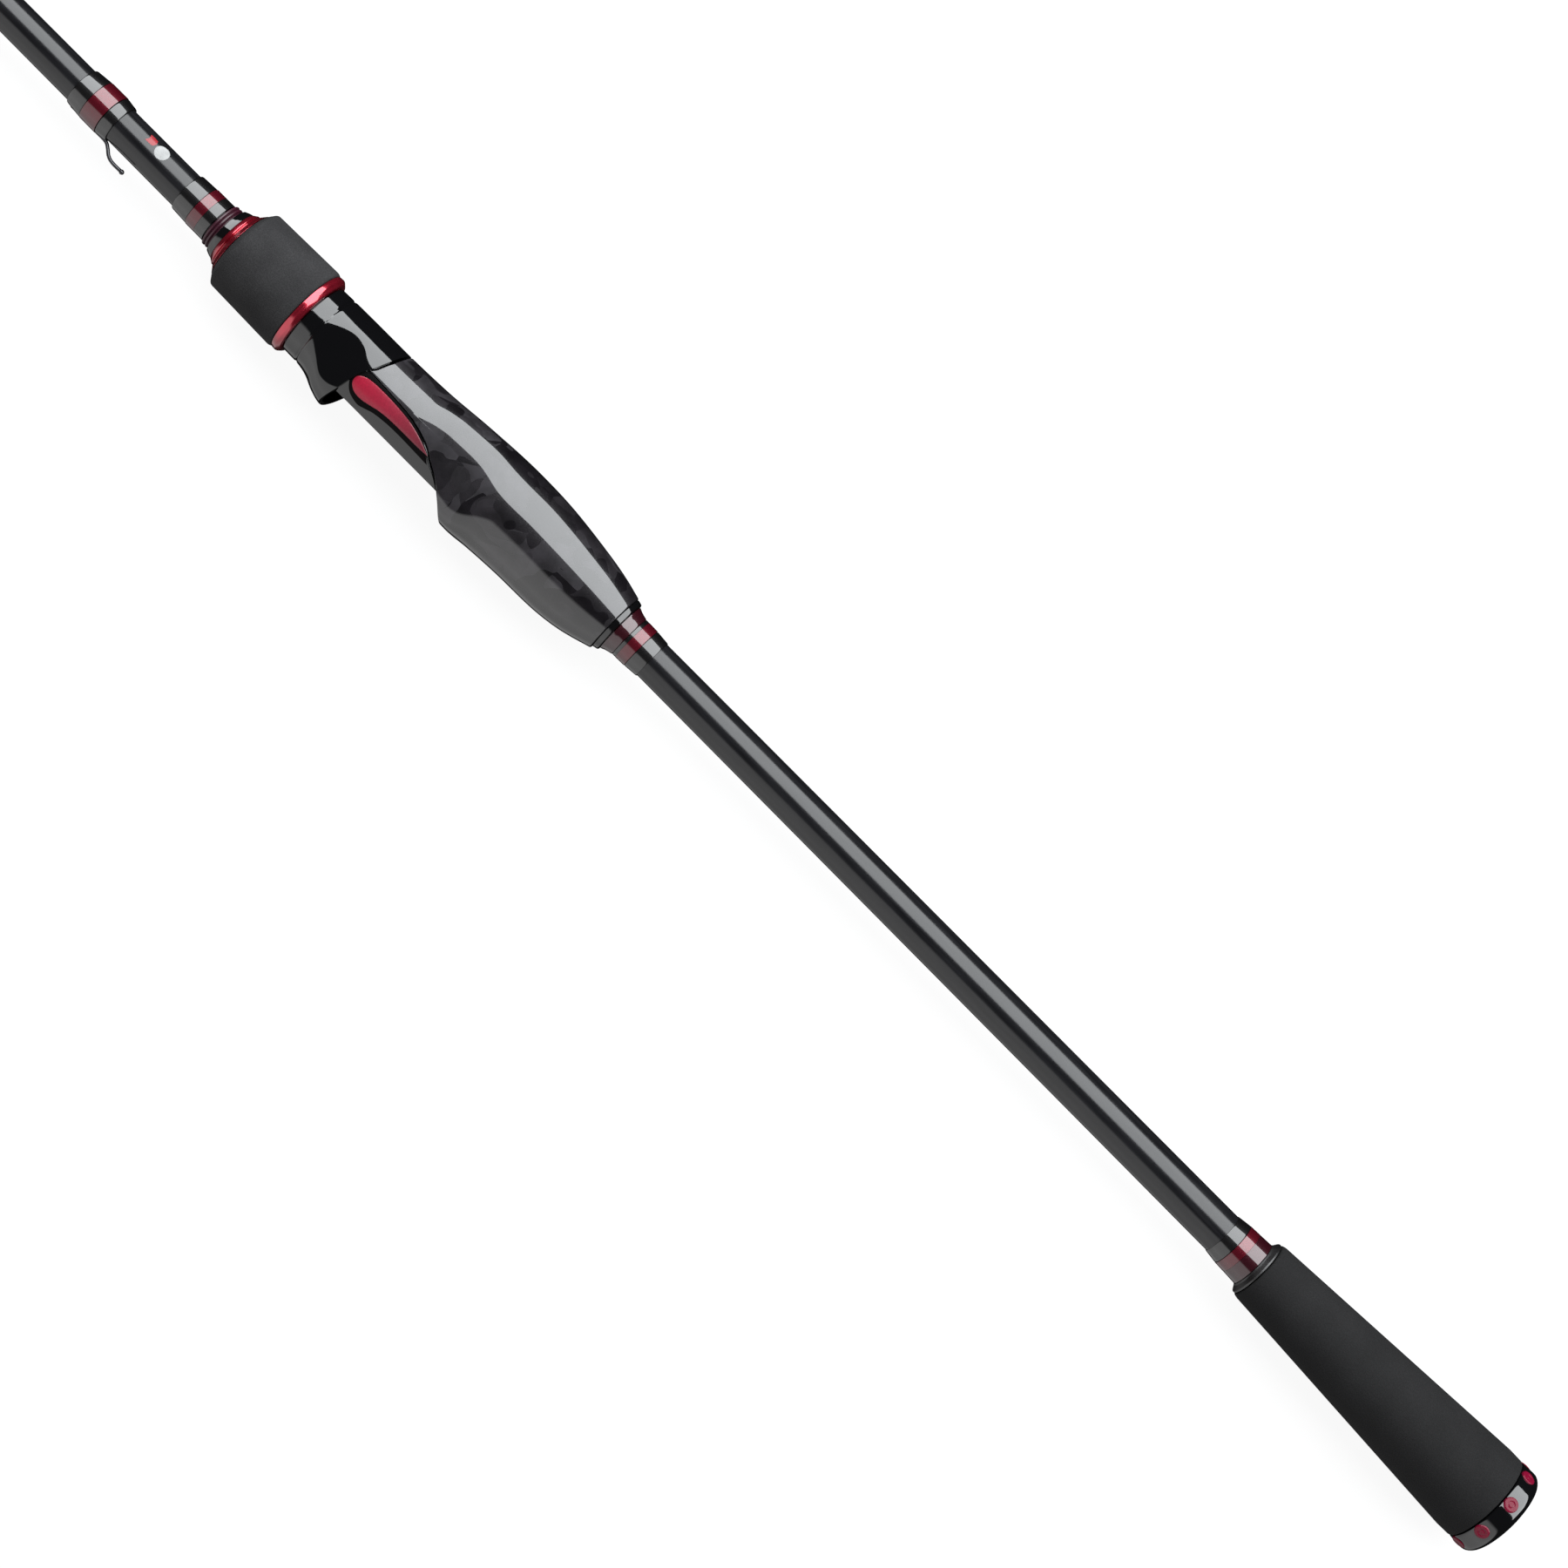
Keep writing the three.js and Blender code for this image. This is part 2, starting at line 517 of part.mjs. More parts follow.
function nutRearRing() {
  const [wideBore, narrowBore] = [HOOD.flange + GAP, HOOD.neck + GAP];
  const [front, lip, back] = [REAR_RING[0][0], HOOD.flangeBack + GAP, REAR_RING.at(-1)[0]];
  return sleeve(REAR_RING, [[front, wideBore], [lip, wideBore], [lip, narrowBore], [back, narrowBore]]);
}

// ---------------------------------------------------------------- ferrule and tip section

// The tip section's tube thickens towards the ferrule, whose socket is a piece of its own.
function tipBlank() {
  const back = FERRULE_BOTTOM - FILM;
  const outside = [
    [TIP_BLANK_END, blankRadius(TIP_BLANK_END)],
    [FERRULE_FADE, blankRadius(FERRULE_FADE)],
    [back, ferruleRadius(back)],
  ];
  const inside = [
    [TIP_BLANK_END, TIP_BLANK_BORE],
    [FERRULE_FADE, blankRadius(FERRULE_FADE) - BLANK_WALL],
    overBlank(back),
  ];
  return sleeve(outside, inside, BLANK_SIDES);
}

function ferruleRadius(x) {
  return blankRadius(x) + FILM + FERRULE_WALL;
}

function tipFerrule() {
  const ends = [FERRULE_BOTTOM, FERRULE_MOUTH];
  return onBlank(ends.map((x) => [x, ferruleRadius(x)]), BLANK_SIDES);
}

// A plain wrap of thread, round the blank or round the thickened mouth of the tip section.
function binding(from, to, extra) {
  const radiusAt = (x) => blankRadius(x) + extra;
  const outside = [[from, radiusAt(from) + BINDING], [to, radiusAt(to) + BINDING]];
  const inside = [[from, radiusAt(from)], [to, radiusAt(to)]];
  return sleeve(outside, inside, BLANK_SIDES);
}

// ---------------------------------------------------------------- line guides

// Moves a piece drawn about the rod's axis to a guide's ring: leaned, then lifted off the blank.
function atRing(geometry, x, height, lean) {
  return geometry.rotateZ(-lean).translate(x, -height, 0);
}

function insertRing({ bore, insert }, x, height, lean) {
  const half = insertHalfLength(bore);
  const edge = Math.min(RING_EDGE, (insert - bore) / 3);
  const outside = [[-half, insert - edge], [0, insert], [half, insert - edge]];
  const inside = [[-half, bore + edge], [0, bore], [half, bore + edge]];
  return atRing(sleeve(outside, inside, RING_SIDES), x, height, lean);
}

function frameRing({ insert, frame, bore }, x, height, lean) {
  const half = frameHalfLength(bore);
  const inner = insert + FILM;
  const ring = sleeve([[-half, frame], [half, frame]], [[-half, inner], [half, inner]], RING_SIDES);
  return solid(atRing(ring, x, height, lean));
}

// Two wire legs that run from the sides of the ring down to the foot.
function legs({ insert, frame, wire: radius }, ringX, height, lean, footX, footY) {
  const reach = (insert + frame) / 2;
  const toe = Math.sign(footX - ringX) * LEG_TOE;
  return [-1, 1].map((side) => {
    const start = new THREE.Vector3(0, reach * Math.cos(LEG_SPREAD), side * reach * Math.sin(LEG_SPREAD));
    start.applyAxisAngle(new THREE.Vector3(0, 0, 1), -lean).add(new THREE.Vector3(ringX, -height, 0));
    const end = new THREE.Vector3(footX + toe, footY, (side * radius) / 3);
    const bend = new THREE.Vector3(footX - toe, footY, (side * radius * 3) / 2);
    const hip = start.clone().lerp(bend, 0.5).add(new THREE.Vector3(0, 0, side * radius));
    return wire(new THREE.CubicBezierCurve3(start, hip, bend, end), radius, LEG_STEPS);
  });
}

function guideFoot(from, to, surface, thickness, width) {
  return block(Math.min(from, to), Math.max(from, to), -surface - thickness, -surface, -width / 2, width / 2);
}

// The thread that binds one foot: a sleeve with room inside for the foot.
function footWrap(footX, footEnd, surface, thickness, width) {
  const direction = Math.sign(footEnd - footX);
  const ends = [footX + direction * WRAP_START, footEnd + direction * WRAP_OVERRUN];
  const [from, to] = ends.sort((a, b) => a - b);
  const cover = blankRadius(from) + FILM + thickness + WRAP_COVER;
  const room = [footX - direction * OVER, footEnd + direction * GAP, surface - GAP];
  const body = solid(onBlank([[from, cover], [to, cover]], RING_SIDES));
  return geometryOf(cut(body, guideFoot(...room, thickness + 2 * GAP, width + 2 * GAP)));
}

function guide(spec) {
  const { name, fromTip, bore, height, wire: wireRadius, foot } = spec;
  const ringX = TIP_END + fromTip;
  const [thickness, width] = [footThickness(bore), footWidth(bore)];
  const oneFoot = [["_wrap", REAR_FOOT]];
  const twoFeet = [["_rear_wrap", REAR_FOOT], ["_front_wrap", FRONT_FOOT]];
  const solids = [frameRing(spec, ringX, height, GUIDE_LEAN)];
  for (const [suffix, reach] of name === STRIPPER ? twoFeet : oneFoot) {
    const footX = ringX + reach * height;
    const footEnd = footX + Math.sign(reach) * foot;
    const surface = blankRadius(footX) + FILM;
    solids.push(guideFoot(footX, footEnd, surface, thickness, width));
    solids.push(...legs(spec, ringX, height, GUIDE_LEAN, footX, -surface - wireRadius - GAP / 6));
    piece(name + suffix, footWrap(footX, footEnd, surface, thickness, width), EPOXY_BLACK);
  }
  piece(`${name}_frame`, geometryOf(join(...solids)), GUNMETAL);
  piece(`${name}_ring`, insertRing(spec, ringX, height, GUIDE_LEAN), CERAMIC);
}

function tipTop() {
  const { front, back, radius } = TIP_TUBE;
  const { fromTip, height, insert } = TIP_TOP;
  const ringX = TIP_END + fromTip;
  const socket = cylinder(TIP_SOCKET_FLOOR, back + OVER, blankRadius(back) + FILM, RING_SIDES);
  const tube = cut(cylinder(front, back, radius, RING_SIDES), socket);
  const braces = legs(TIP_TOP, ringX, height, 0, TIP_LEG_FOOT, -radius);
  const { bottom, halfWidth } = TIP_STEM;
  const stem = block(TIP_STEM.front, TIP_STEM.back, insert + FILM - height, bottom, -halfWidth, halfWidth);
  const ring = frameRing(TIP_TOP, ringX, height, 0);
  piece("tip_top_frame", geometryOf(join(tube, ring, ...braces, stem)), GUNMETAL);
  piece("tip_top_ring", insertRing(TIP_TOP, ringX, height, 0), CERAMIC);
}

// ---------------------------------------------------------------- assembly

piece("butt_blank", buttBlank(), CARBON);
piece("butt_cap", buttCap(), GLOSS_BLACK);
piece("cap_insert_ring", capInsertRing(), RED);
piece("rear_grip", rearGrip(), FOAM);
piece("rear_check", onBlank(REAR_CHECK), GLOSS_BLACK);
WRAPS.forEach(wrap);
piece("seat_end_ring", seatRing(), GLOSS_BLACK);
piece("seat_body", seatBody(), GLOSS_BLACK);
piece("palm_shell", palmShell(), GRAPHITE);
piece("inlay_left", inlay(-1), RED);
piece("inlay_right", inlay(1), RED);
ARBORS.forEach(([name, front, back]) => piece(name, arbor(front, back), ARBOR));
piece("front_check", frontCheck(), BURGUNDY);
piece("hook_keeper", hookKeeper(), GUNMETAL);

piece("moving_hood", movingHood(), GLOSS_BLACK);
piece("locking_nut", lockingNut(), GLOSS_BLACK);
piece("foregrip", bored(FOREGRIP, FOREGRIP_BORE), FOAM);
piece("nut_front_ring", bored(FRONT_RING, FRONT_RING_BORE), RED);
piece("nut_rear_ring", nutRearRing(), RED);

piece("tip_blank", tipBlank(), CARBON);
piece("tip_ferrule", tipFerrule(), CARBON);
const { inset: wrapInset, length: wrapLength } = FERRULE_WRAPS;
const [overButt, overTip] = [FERRULE_MOUTH + wrapInset, FERRULE_MOUTH - wrapInset];
piece("butt_ferrule_wrap", binding(overButt, overButt + wrapLength, FILM), EPOXY_BLACK);
piece("tip_ferrule_wrap", binding(overTip - wrapLength, overTip, FERRULE_WALL + 2 * FILM), EPOXY_BLACK);
GUIDES.forEach(guide);
tipTop();
const tipWrapFront = TIP_TUBE.back + GAP;
piece("tip_top_wrap", binding(tipWrapFront, tipWrapFront + TIP_WRAP_LENGTH, FILM), EPOXY_BLACK);

const part = new THREE.Group();
part.add(rod);
export default part;
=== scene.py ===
from math import copysign, cos, degrees, exp, log, pi, radians, sin, sqrt

import bmesh
import bpy
import numpy as np
from mathutils import Matrix, Vector


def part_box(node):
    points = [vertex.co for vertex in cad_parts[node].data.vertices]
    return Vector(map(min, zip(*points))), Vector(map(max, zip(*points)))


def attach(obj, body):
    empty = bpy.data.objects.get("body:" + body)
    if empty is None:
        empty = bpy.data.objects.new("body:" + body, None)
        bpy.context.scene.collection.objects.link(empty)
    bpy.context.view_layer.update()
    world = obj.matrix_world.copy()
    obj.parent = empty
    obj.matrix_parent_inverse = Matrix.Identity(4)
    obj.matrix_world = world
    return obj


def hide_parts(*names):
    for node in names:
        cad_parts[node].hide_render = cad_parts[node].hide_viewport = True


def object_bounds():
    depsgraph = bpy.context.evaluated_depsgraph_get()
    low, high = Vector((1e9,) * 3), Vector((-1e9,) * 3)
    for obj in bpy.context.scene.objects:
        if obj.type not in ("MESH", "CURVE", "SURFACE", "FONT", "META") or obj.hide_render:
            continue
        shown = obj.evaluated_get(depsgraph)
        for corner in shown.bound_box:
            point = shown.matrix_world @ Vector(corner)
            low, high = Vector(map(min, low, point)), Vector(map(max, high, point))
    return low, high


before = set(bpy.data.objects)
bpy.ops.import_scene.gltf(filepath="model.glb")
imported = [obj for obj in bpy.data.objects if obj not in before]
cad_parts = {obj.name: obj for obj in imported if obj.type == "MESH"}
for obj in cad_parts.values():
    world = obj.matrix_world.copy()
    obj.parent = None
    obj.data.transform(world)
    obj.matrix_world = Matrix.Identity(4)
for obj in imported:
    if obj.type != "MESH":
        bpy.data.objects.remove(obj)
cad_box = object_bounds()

# The rod lies along X, butt towards +X. Shapes below are in millimetres, with y and z measured from
# the rod's axis: -y is the reel side. MM turns them into the frame's metres.
MM = 0.001
BLANK_LOW, BLANK_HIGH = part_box("butt_blank")
AXIS = Vector((0, (BLANK_LOW.y + BLANK_HIGH.y) / 2, (BLANK_LOW.z + BLANK_HIGH.z) / 2))
BUTT, HOOD, NUT, TIP = "butt_section", "moving_hood", "locking_nut", "tip_section"
ROUND = 96          # sides of a round handle piece
SLIM = 48           # sides of the blank and of a wrap


def span(node):
    """First x, last x and outer radius of a CAD node, in millimetres."""
    low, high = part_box(node)
    return low.x / MM, high.x / MM, (high.z - AXIS.z) / MM


def smooth_curve(points):
    """A function of x through the given (x, value) points, with no overshoot between them."""
    xs, ys = (np.array(column, float) for column in zip(*points))
    secants = np.diff(ys) / np.diff(xs)
    slopes = np.concatenate(([secants[0]], (secants[:-1] + secants[1:]) / 2, [secants[-1]]))
    for i in range(1, len(xs) - 1):
        if secants[i - 1] * secants[i] <= 0:
            slopes[i] = 0

    def value(x):
        x = min(max(x, xs[0]), xs[-1])
        i = min(int(np.searchsorted(xs, x, side="right")) - 1, len(xs) - 2)
        width = xs[i + 1] - xs[i]
        t = (x - xs[i]) / width
        rise = ys[i] * (2 * t**3 - 3 * t**2 + 1) + ys[i + 1] * (3 * t**2 - 2 * t**3)
        return rise + width * (slopes[i] * (t**3 - 2 * t**2 + t) + slopes[i + 1] * (t**3 - t**2))

    return value


def step_between(edge0, edge1, value):
    """A smooth rise from 0 at the first edge to 1 at the second."""
    t = min(max((value - edge0) / (edge1 - edge0), 0), 1)
    return t * t * (3 - 2 * t)


def soft_corner(before, corner, after, size, steps=4):
    """A short curve that takes the place of a corner."""
    before, corner, after = Vector(before), Vector(corner), Vector(after)
    start = corner + (before - corner).normalized() * min(size, (before - corner).length * 0.45)
    end = corner + (after - corner).normalized() * min(size, (after - corner).length * 0.45)
    curve = []
    for i in range(steps + 1):
        t = i / steps
        curve.append(start * (1 - t) ** 2 + corner * 2 * t * (1 - t) + end * t**2)
    return curve


def rounded(outline, size, closed=True):
    """An outline with every corner eased. An open outline keeps its two ends."""
    count = len(outline)
    eased = []
    for i, point in enumerate(outline):
        if not closed and i in (0, count - 1):
            eased.append(Vector(point))
        else:
            eased += soft_corner(outline[i - 1], point, outline[(i + 1) % count], size)
    return [tuple(point) for point in eased]


def curve_through(points, steps=10):
    """A smooth path through a few points (Catmull-Rom)."""
    points = [Vector(p) for p in points]
    ends = [points[0] * 2 - points[1], *points, points[-1] * 2 - points[-2]]
    path = []
    for a, b, c, d in zip(ends, ends[1:], ends[2:], ends[3:]):
        for i in range(steps):
            t = i / steps
            path.append(0.5 * (2 * b + (c - a) * t + (2 * a - 5 * b + 4 * c - d) * t**2
                               + (3 * b - a - 3 * c + d) * t**3))
    path.append(points[-1])
    return path


def closed_curve(points, steps=5):
    """A smooth closed outline through a few (x, y) points, with a corner where it starts."""
    return [(p.x, p.y) for p in curve_through([(x, y, 0) for x, y in (*points, points[0])], steps)[:-1]]


# ---------------- meshes

def around(x, radius, angle):
    """A point on a circle about the axis. Angle 0 is the top (+y)."""
    return (x, radius * cos(angle), radius * sin(angle))


def full_turn(sides):
    return [2 * pi * j / sides for j in range(sides)]


def grid_faces(rows, columns, close_rows, close_columns):
    """The quads between a grid's points, which are listed row by row."""
    faces = []
    for i in range(rows if close_rows else rows - 1):
        this_row, next_row = i * columns, (i + 1) % rows * columns
        for j in range(columns if close_columns else columns - 1):
            after = (j + 1) % columns
            faces.append((this_row + j, this_row + after, next_row + after, next_row + j))
    return faces


def tip_faces(rings, sides):
    """Triangles from the first and last ring to the two tip points, which are listed after all the rings."""
    tip = rings * sides
    last = tip - sides
    faces = []
    for j in range(sides):
        after = (j + 1) % sides
        faces.append((after, j, tip))
        faces.append((last + j, last + after, tip + 1))
    return faces


def revolve(outline, sides=ROUND, closed=True):
    """A round body about the axis from (x, radius) points. An open outline starts and ends on the axis."""
    body = outline if closed else outline[1:-1]
    points = [around(x, radius, angle) for x, radius in body for angle in full_turn(sides)]
    faces = grid_faces(len(body), sides, closed, True)
    if not closed:
        points += [(outline[0][0], 0, 0), (outline[-1][0], 0, 0)]
        faces += tip_faces(len(body), sides)
    return points, faces


def tube(path, radius, sides=16, squash=1.0):
    """A round bar along a list of points, with domed ends."""
    path = [Vector(p) for p in path]
    dome = (0.35, 0.75)
    start_dir = (path[0] - path[1]).normalized()
    end_dir = (path[-1] - path[-2]).normalized()
    stations = [(path[0] + start_dir * radius * s, sqrt(1 - s * s)) for s in reversed(dome)]
    stations += [(p, 1.0) for p in path]
    stations += [(path[-1] + end_dir * radius * s, sqrt(1 - s * s)) for s in dome]
    side = None
    points = []
    for i, (centre, share) in enumerate(stations):
        ahead = stations[min(i + 1, len(stations) - 1)][0] - stations[max(i - 1, 0)][0]
        ahead.normalize()
        reference = side if side is not None else Vector((0, 0, 1))
        if abs(ahead.dot(reference)) > 0.95:
            reference = Vector((0, 1, 0))
        side = (reference - ahead * reference.dot(ahead)).normalized()
        up = ahead.cross(side)
        for angle in full_turn(sides):
            offset = side * cos(angle) * squash + up * sin(angle)
            points.append(tuple(centre + offset * radius * share))
    points += [tuple(path[0] + start_dir * radius), tuple(path[-1] + end_dir * radius)]
    return points, grid_faces(len(stations), sides, False, True) + tip_faces(len(stations), sides)


def joined(*bodies):
    """Several bodies as one."""
    points, faces = [], []
    for body_points, body_faces in bodies:
        first = len(points)
        points += body_points
        faces += [tuple(first + k for k in face) for face in body_faces]
    return points, faces


def placed(body, move):
    """A body with each of its points moved."""
    points, faces = body
    return [tuple(move(Vector(p))) for p in points], faces


def shifted(body, x, y):
    offset = Vector((x, y, 0))
    points, faces = body
    return [tuple(Vector(p) + offset) for p in points], faces


def add_piece(name, body, material, rides_on, stands_for=(), crease=38):
    """Adds a body as a piece of its own. Edges sharper than the crease, in degrees, stay sharp."""
    points, faces = body
    mesh = bpy.data.meshes.new(name)
    mesh.from_pydata([tuple(Vector(p) * MM + AXIS) for p in points], [], faces)
    mesh.validate()
    mesh.shade_smooth()
    mesh.set_sharp_from_angle(angle=radians(crease))
    mesh.materials.append(material)
    piece = bpy.data.objects.new(name, mesh)
    bpy.context.scene.collection.objects.link(piece)
    make_outward(piece)
    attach(piece, rides_on)
    if stands_for:
        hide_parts(*stands_for)
    return piece


def add_turned(name, outline, ease, material, rides_on, stands_for=(), sides=ROUND):
    """Adds a closed outline turned about the axis, with its corners eased."""
    return add_piece(name, revolve(rounded(outline, ease), sides), material, rides_on, stands_for)


def make_outward(piece):
    """Turns the faces round where the mesh came out inside out."""
    work = bmesh.new()
    work.from_mesh(piece.data)
    bmesh.ops.recalc_face_normals(work, faces=work.faces)
    work.to_mesh(piece.data)
    work.free()


# ---------------- materials

def grey(level):
    return (level, level, level)


def color_ramp(tree, source, stops):
    """Colours along a value, from (position, colour) stops."""
    ramp = tree.nodes.new("ShaderNodeValToRGB")
    elements = ramp.color_ramp.elements
    while len(elements) < len(stops):
        elements.new(0.5)
    for element, (position, color) in zip(elements, stops):
        element.position = position
        element.color = (*color, 1)
    tree.links.new(source, ramp.inputs["Fac"])
    return ramp.outputs["Color"]


def map_range(tree, source, low, high, out_low, out_high):
    levels = tree.nodes.new("ShaderNodeMapRange")
    for socket, value in zip(levels.inputs[1:5], (low, high, out_low, out_high)):
        socket.default_value = value
    tree.links.new(source, levels.inputs["Value"])
    return levels.outputs["Result"]


def new_material(name, slot, color, roughness, metallic=0.0, coat=0.0, coat_roughness=0.03, specular=0.5):
    material = bpy.data.materials.new(name)
    material.use_nodes = True
    material["slot"] = slot
    shader = material.node_tree.nodes["Principled BSDF"]
    shader.inputs["Base Color"].default_value = (*color, 1)
    shader.inputs["Roughness"].default_value = roughness
    shader.inputs["Metallic"].default_value = metallic
    shader.inputs["Coat Weight"].default_value = coat
    shader.inputs["Coat Roughness"].default_value = coat_roughness
    shader.inputs["Specular IOR Level"].default_value = specular
    return material


class Nodes:
    """Short names for the nodes that the materials share."""

    def __init__(self, material):
        self.tree = material.node_tree
        self.shader = self.tree.nodes["Principled BSDF"]
        self.place = self.tree.nodes.new("ShaderNodeTexCoord").outputs["Object"]

    def link(self, source, target):
        self.tree.links.new(source, target)

    def feed(self, socket, source):
        self.link(source, self.shader.inputs[socket])

    def stretched(self, scale):
        mapping = self.tree.nodes.new("ShaderNodeMapping")
        mapping.inputs["Scale"].default_value = scale
        self.link(self.place, mapping.inputs["Vector"])
        return mapping.outputs["Vector"]

    def noise(self, scale, detail=3.0, vector=None):
        noise = self.tree.nodes.new("ShaderNodeTexNoise")
        noise.inputs["Scale"].default_value = scale
        noise.inputs["Detail"].default_value = detail
        self.link(vector or self.place, noise.inputs["Vector"])
        return noise.outputs["Fac"]

    def cells(self, scale, vector=None, feature="F1", output="Color"):
        cells = self.tree.nodes.new("ShaderNodeTexVoronoi")
        cells.feature = feature
        cells.inputs["Scale"].default_value = scale
        self.link(vector or self.place, cells.inputs["Vector"])
        return cells.outputs[output]

    def turns(self, scale, distortion, detail=2.0):
        """Bands across the rod, as tape or thread is wound."""
        turns = self.tree.nodes.new("ShaderNodeTexWave")
        turns.bands_direction = "X"
        turns.inputs["Scale"].default_value = scale
        turns.inputs["Distortion"].default_value = distortion
        turns.inputs["Detail"].default_value = detail
        self.link(self.place, turns.inputs["Vector"])
        return turns.outputs["Fac"]

    def ramp(self, source, stops):
        return color_ramp(self.tree, source, stops)

    def levels(self, source, *limits):
        return map_range(self.tree, source, *limits)

    def mix(self, factor, a, b, kind="MIX"):
        mix = self.tree.nodes.new("ShaderNodeMix")
        mix.data_type = "RGBA"
        mix.blend_type = kind
        sockets = {"Factor": mix.inputs[0], "A": mix.inputs[6], "B": mix.inputs[7]}
        for key, value in (("Factor", factor), ("A", a), ("B", b)):
            if isinstance(value, (int, float, tuple)):
                sockets[key].default_value = value
            else:
                self.link(value, sockets[key])
        return mix.outputs[2]

    def bump(self, height, strength, distance):
        bump = self.tree.nodes.new("ShaderNodeBump")
        bump.inputs["Strength"].default_value = strength
        bump.inputs["Distance"].default_value = distance
        self.link(height, bump.inputs["Height"])
        self.link(bump.outputs["Normal"], self.shader.inputs["Normal"])


def foam_material(name, shade):
    """Closed-cell EVA: dense dark foam with a fine grain and faint cloudiness."""
    material = new_material(name, "grip_foam", grey(shade), 0.85, specular=0.12)
    nodes = Nodes(material)
    dark, light = (shade * 0.8, shade * 0.78, shade * 0.82), (shade * 1.2, shade * 1.17, shade * 1.22)
    clouds = nodes.ramp(nodes.noise(90, 4), [(0.3, dark), (0.7, light)])
    grain = nodes.ramp(nodes.noise(2600, 2), [(0.35, grey(0.55)), (0.65, grey(1.25))])
    nodes.feed("Base Color", nodes.mix(0.55, clouds, grain, "MULTIPLY"))
    nodes.bump(nodes.cells(1700, output="Distance"), 0.16, 0.0002)
    return material


def gloss_material(name, slot, color, roughness=0.06, specular=0.5):
    """Polished moulding: deep colour, a trace of orange peel and fine handling marks."""
    material = new_material(name, slot, color, roughness, specular=specular)
    nodes = Nodes(material)
    marks = nodes.noise(140, 5)
    nodes.feed("Roughness", nodes.levels(marks, 0.3, 0.75, roughness * 0.7, roughness * 1.7))
    nodes.bump(nodes.noise(420, 1), 0.035, 0.0004)
    return material


def graphite_material():
    """Chopped-carbon look under clear gloss: overlapping smoky flakes that run with the rod."""
    material = new_material("forged_graphite", "palm_graphite", (0.01, 0.01, 0.011), 0.4, coat=1.0,
                            coat_roughness=0.045, specular=0.1)
    nodes = Nodes(material)
    warp = nodes.mix(0.035, nodes.stretched((0.55, 1.1, 1.1)), nodes.noise(60, 2), "ADD")
    flakes = nodes.tree.nodes.new("ShaderNodeRGBToBW")
    nodes.link(nodes.cells(150, warp), flakes.inputs["Color"])
    dark, middle, light = (0.0026, 0.0022, 0.0028), (0.0066, 0.0058, 0.0068), (0.011, 0.01, 0.0115)
    tone = nodes.ramp(flakes.outputs["Val"], [(0.25, dark), (0.5, middle), (0.8, light)])
    smoke = nodes.ramp(nodes.noise(220, 6), [(0.35, grey(0.5)), (0.65, grey(1.2))])
    nodes.feed("Base Color", nodes.mix(0.8, tone, smoke, "MULTIPLY"))
    nodes.feed("Roughness", nodes.levels(flakes.outputs["Val"], 0, 1, 0.22, 0.5))
    return material


def blank_material():
    """Unsanded carbon with a dim gloss: faint turns of tape along the tube."""
    material = new_material("carbon_blank", "blank", (0.0035, 0.0035, 0.004), 0.19, specular=0.33)
    nodes = Nodes(material)
    fibre = nodes.noise(900, 3, nodes.stretched((0.08, 1, 1)))
    tone = nodes.ramp(fibre, [(0.3, (0.0022, 0.0022, 0.0026)), (0.7, (0.005, 0.005, 0.0057))])
    nodes.feed("Base Color", tone)
    nodes.bump(nodes.turns(90, 1.5, 1), 0.05, 0.0001)
    return material


def thread_material(name, slot, color, shine=0.0):
    """Wound thread sunk in clear epoxy: the turns show faintly through a glossy, slightly wavy coat."""
    material = new_material(name, slot, color, 0.35, shine, coat=1.0, coat_roughness=0.04, specular=0.1)
    nodes = Nodes(material)
    dark = tuple(channel * 0.45 for channel in color)
    nodes.feed("Base Color", nodes.ramp(nodes.turns(950, 0.4), [(0.1, dark), (0.8, color)]))
    nodes.bump(nodes.noise(260, 2), 0.05, 0.0004)
    return material


def red_metal_material():
    """Turned aluminium with a clear red anodised skin."""
    material = new_material("red_anodised", "red_metal", (0.24, 0.008, 0.02), 0.2, metallic=0.85, coat=0.8)
    nodes = Nodes(material)
    lines = nodes.noise(1800, 2, nodes.stretched((1, 0.05, 0.05)))
    nodes.feed("Roughness", nodes.levels(lines, 0.3, 0.7, 0.15, 0.27))
    tone = nodes.ramp(nodes.noise(200, 3), [(0.3, (0.21, 0.006, 0.016)), (0.7, (0.27, 0.01, 0.024))])
    nodes.feed("Base Color", tone)
    return material


def inlay_material():
    """Red lacquered plate, deeper towards its tail."""
    material = new_material("inlay_lacquer", "inlay_red", (0.15, 0.007, 0.015), 0.4, coat=0.25,
                            coat_roughness=0.2, specular=0.12)
    nodes = Nodes(material)
    split = nodes.tree.nodes.new("ShaderNodeSeparateXYZ")
    nodes.link(nodes.place, split.inputs["Vector"])
    front, back, _ = span("inlay_right")
    along = nodes.levels(split.outputs["X"], front * MM, back * MM, 0, 1)
    bright, middle, deep = (0.15, 0.003, 0.013), (0.115, 0.006, 0.015), (0.06, 0.008, 0.013)
    tone = nodes.ramp(along, [(0.0, bright), (0.5, middle), (1.0, deep)])
    pearl = nodes.ramp(nodes.noise(1500, 2), [(0.3, grey(0.85)), (0.7, grey(1.12))])
    nodes.feed("Base Color", nodes.mix(0.6, tone, pearl, "MULTIPLY"))
    return material


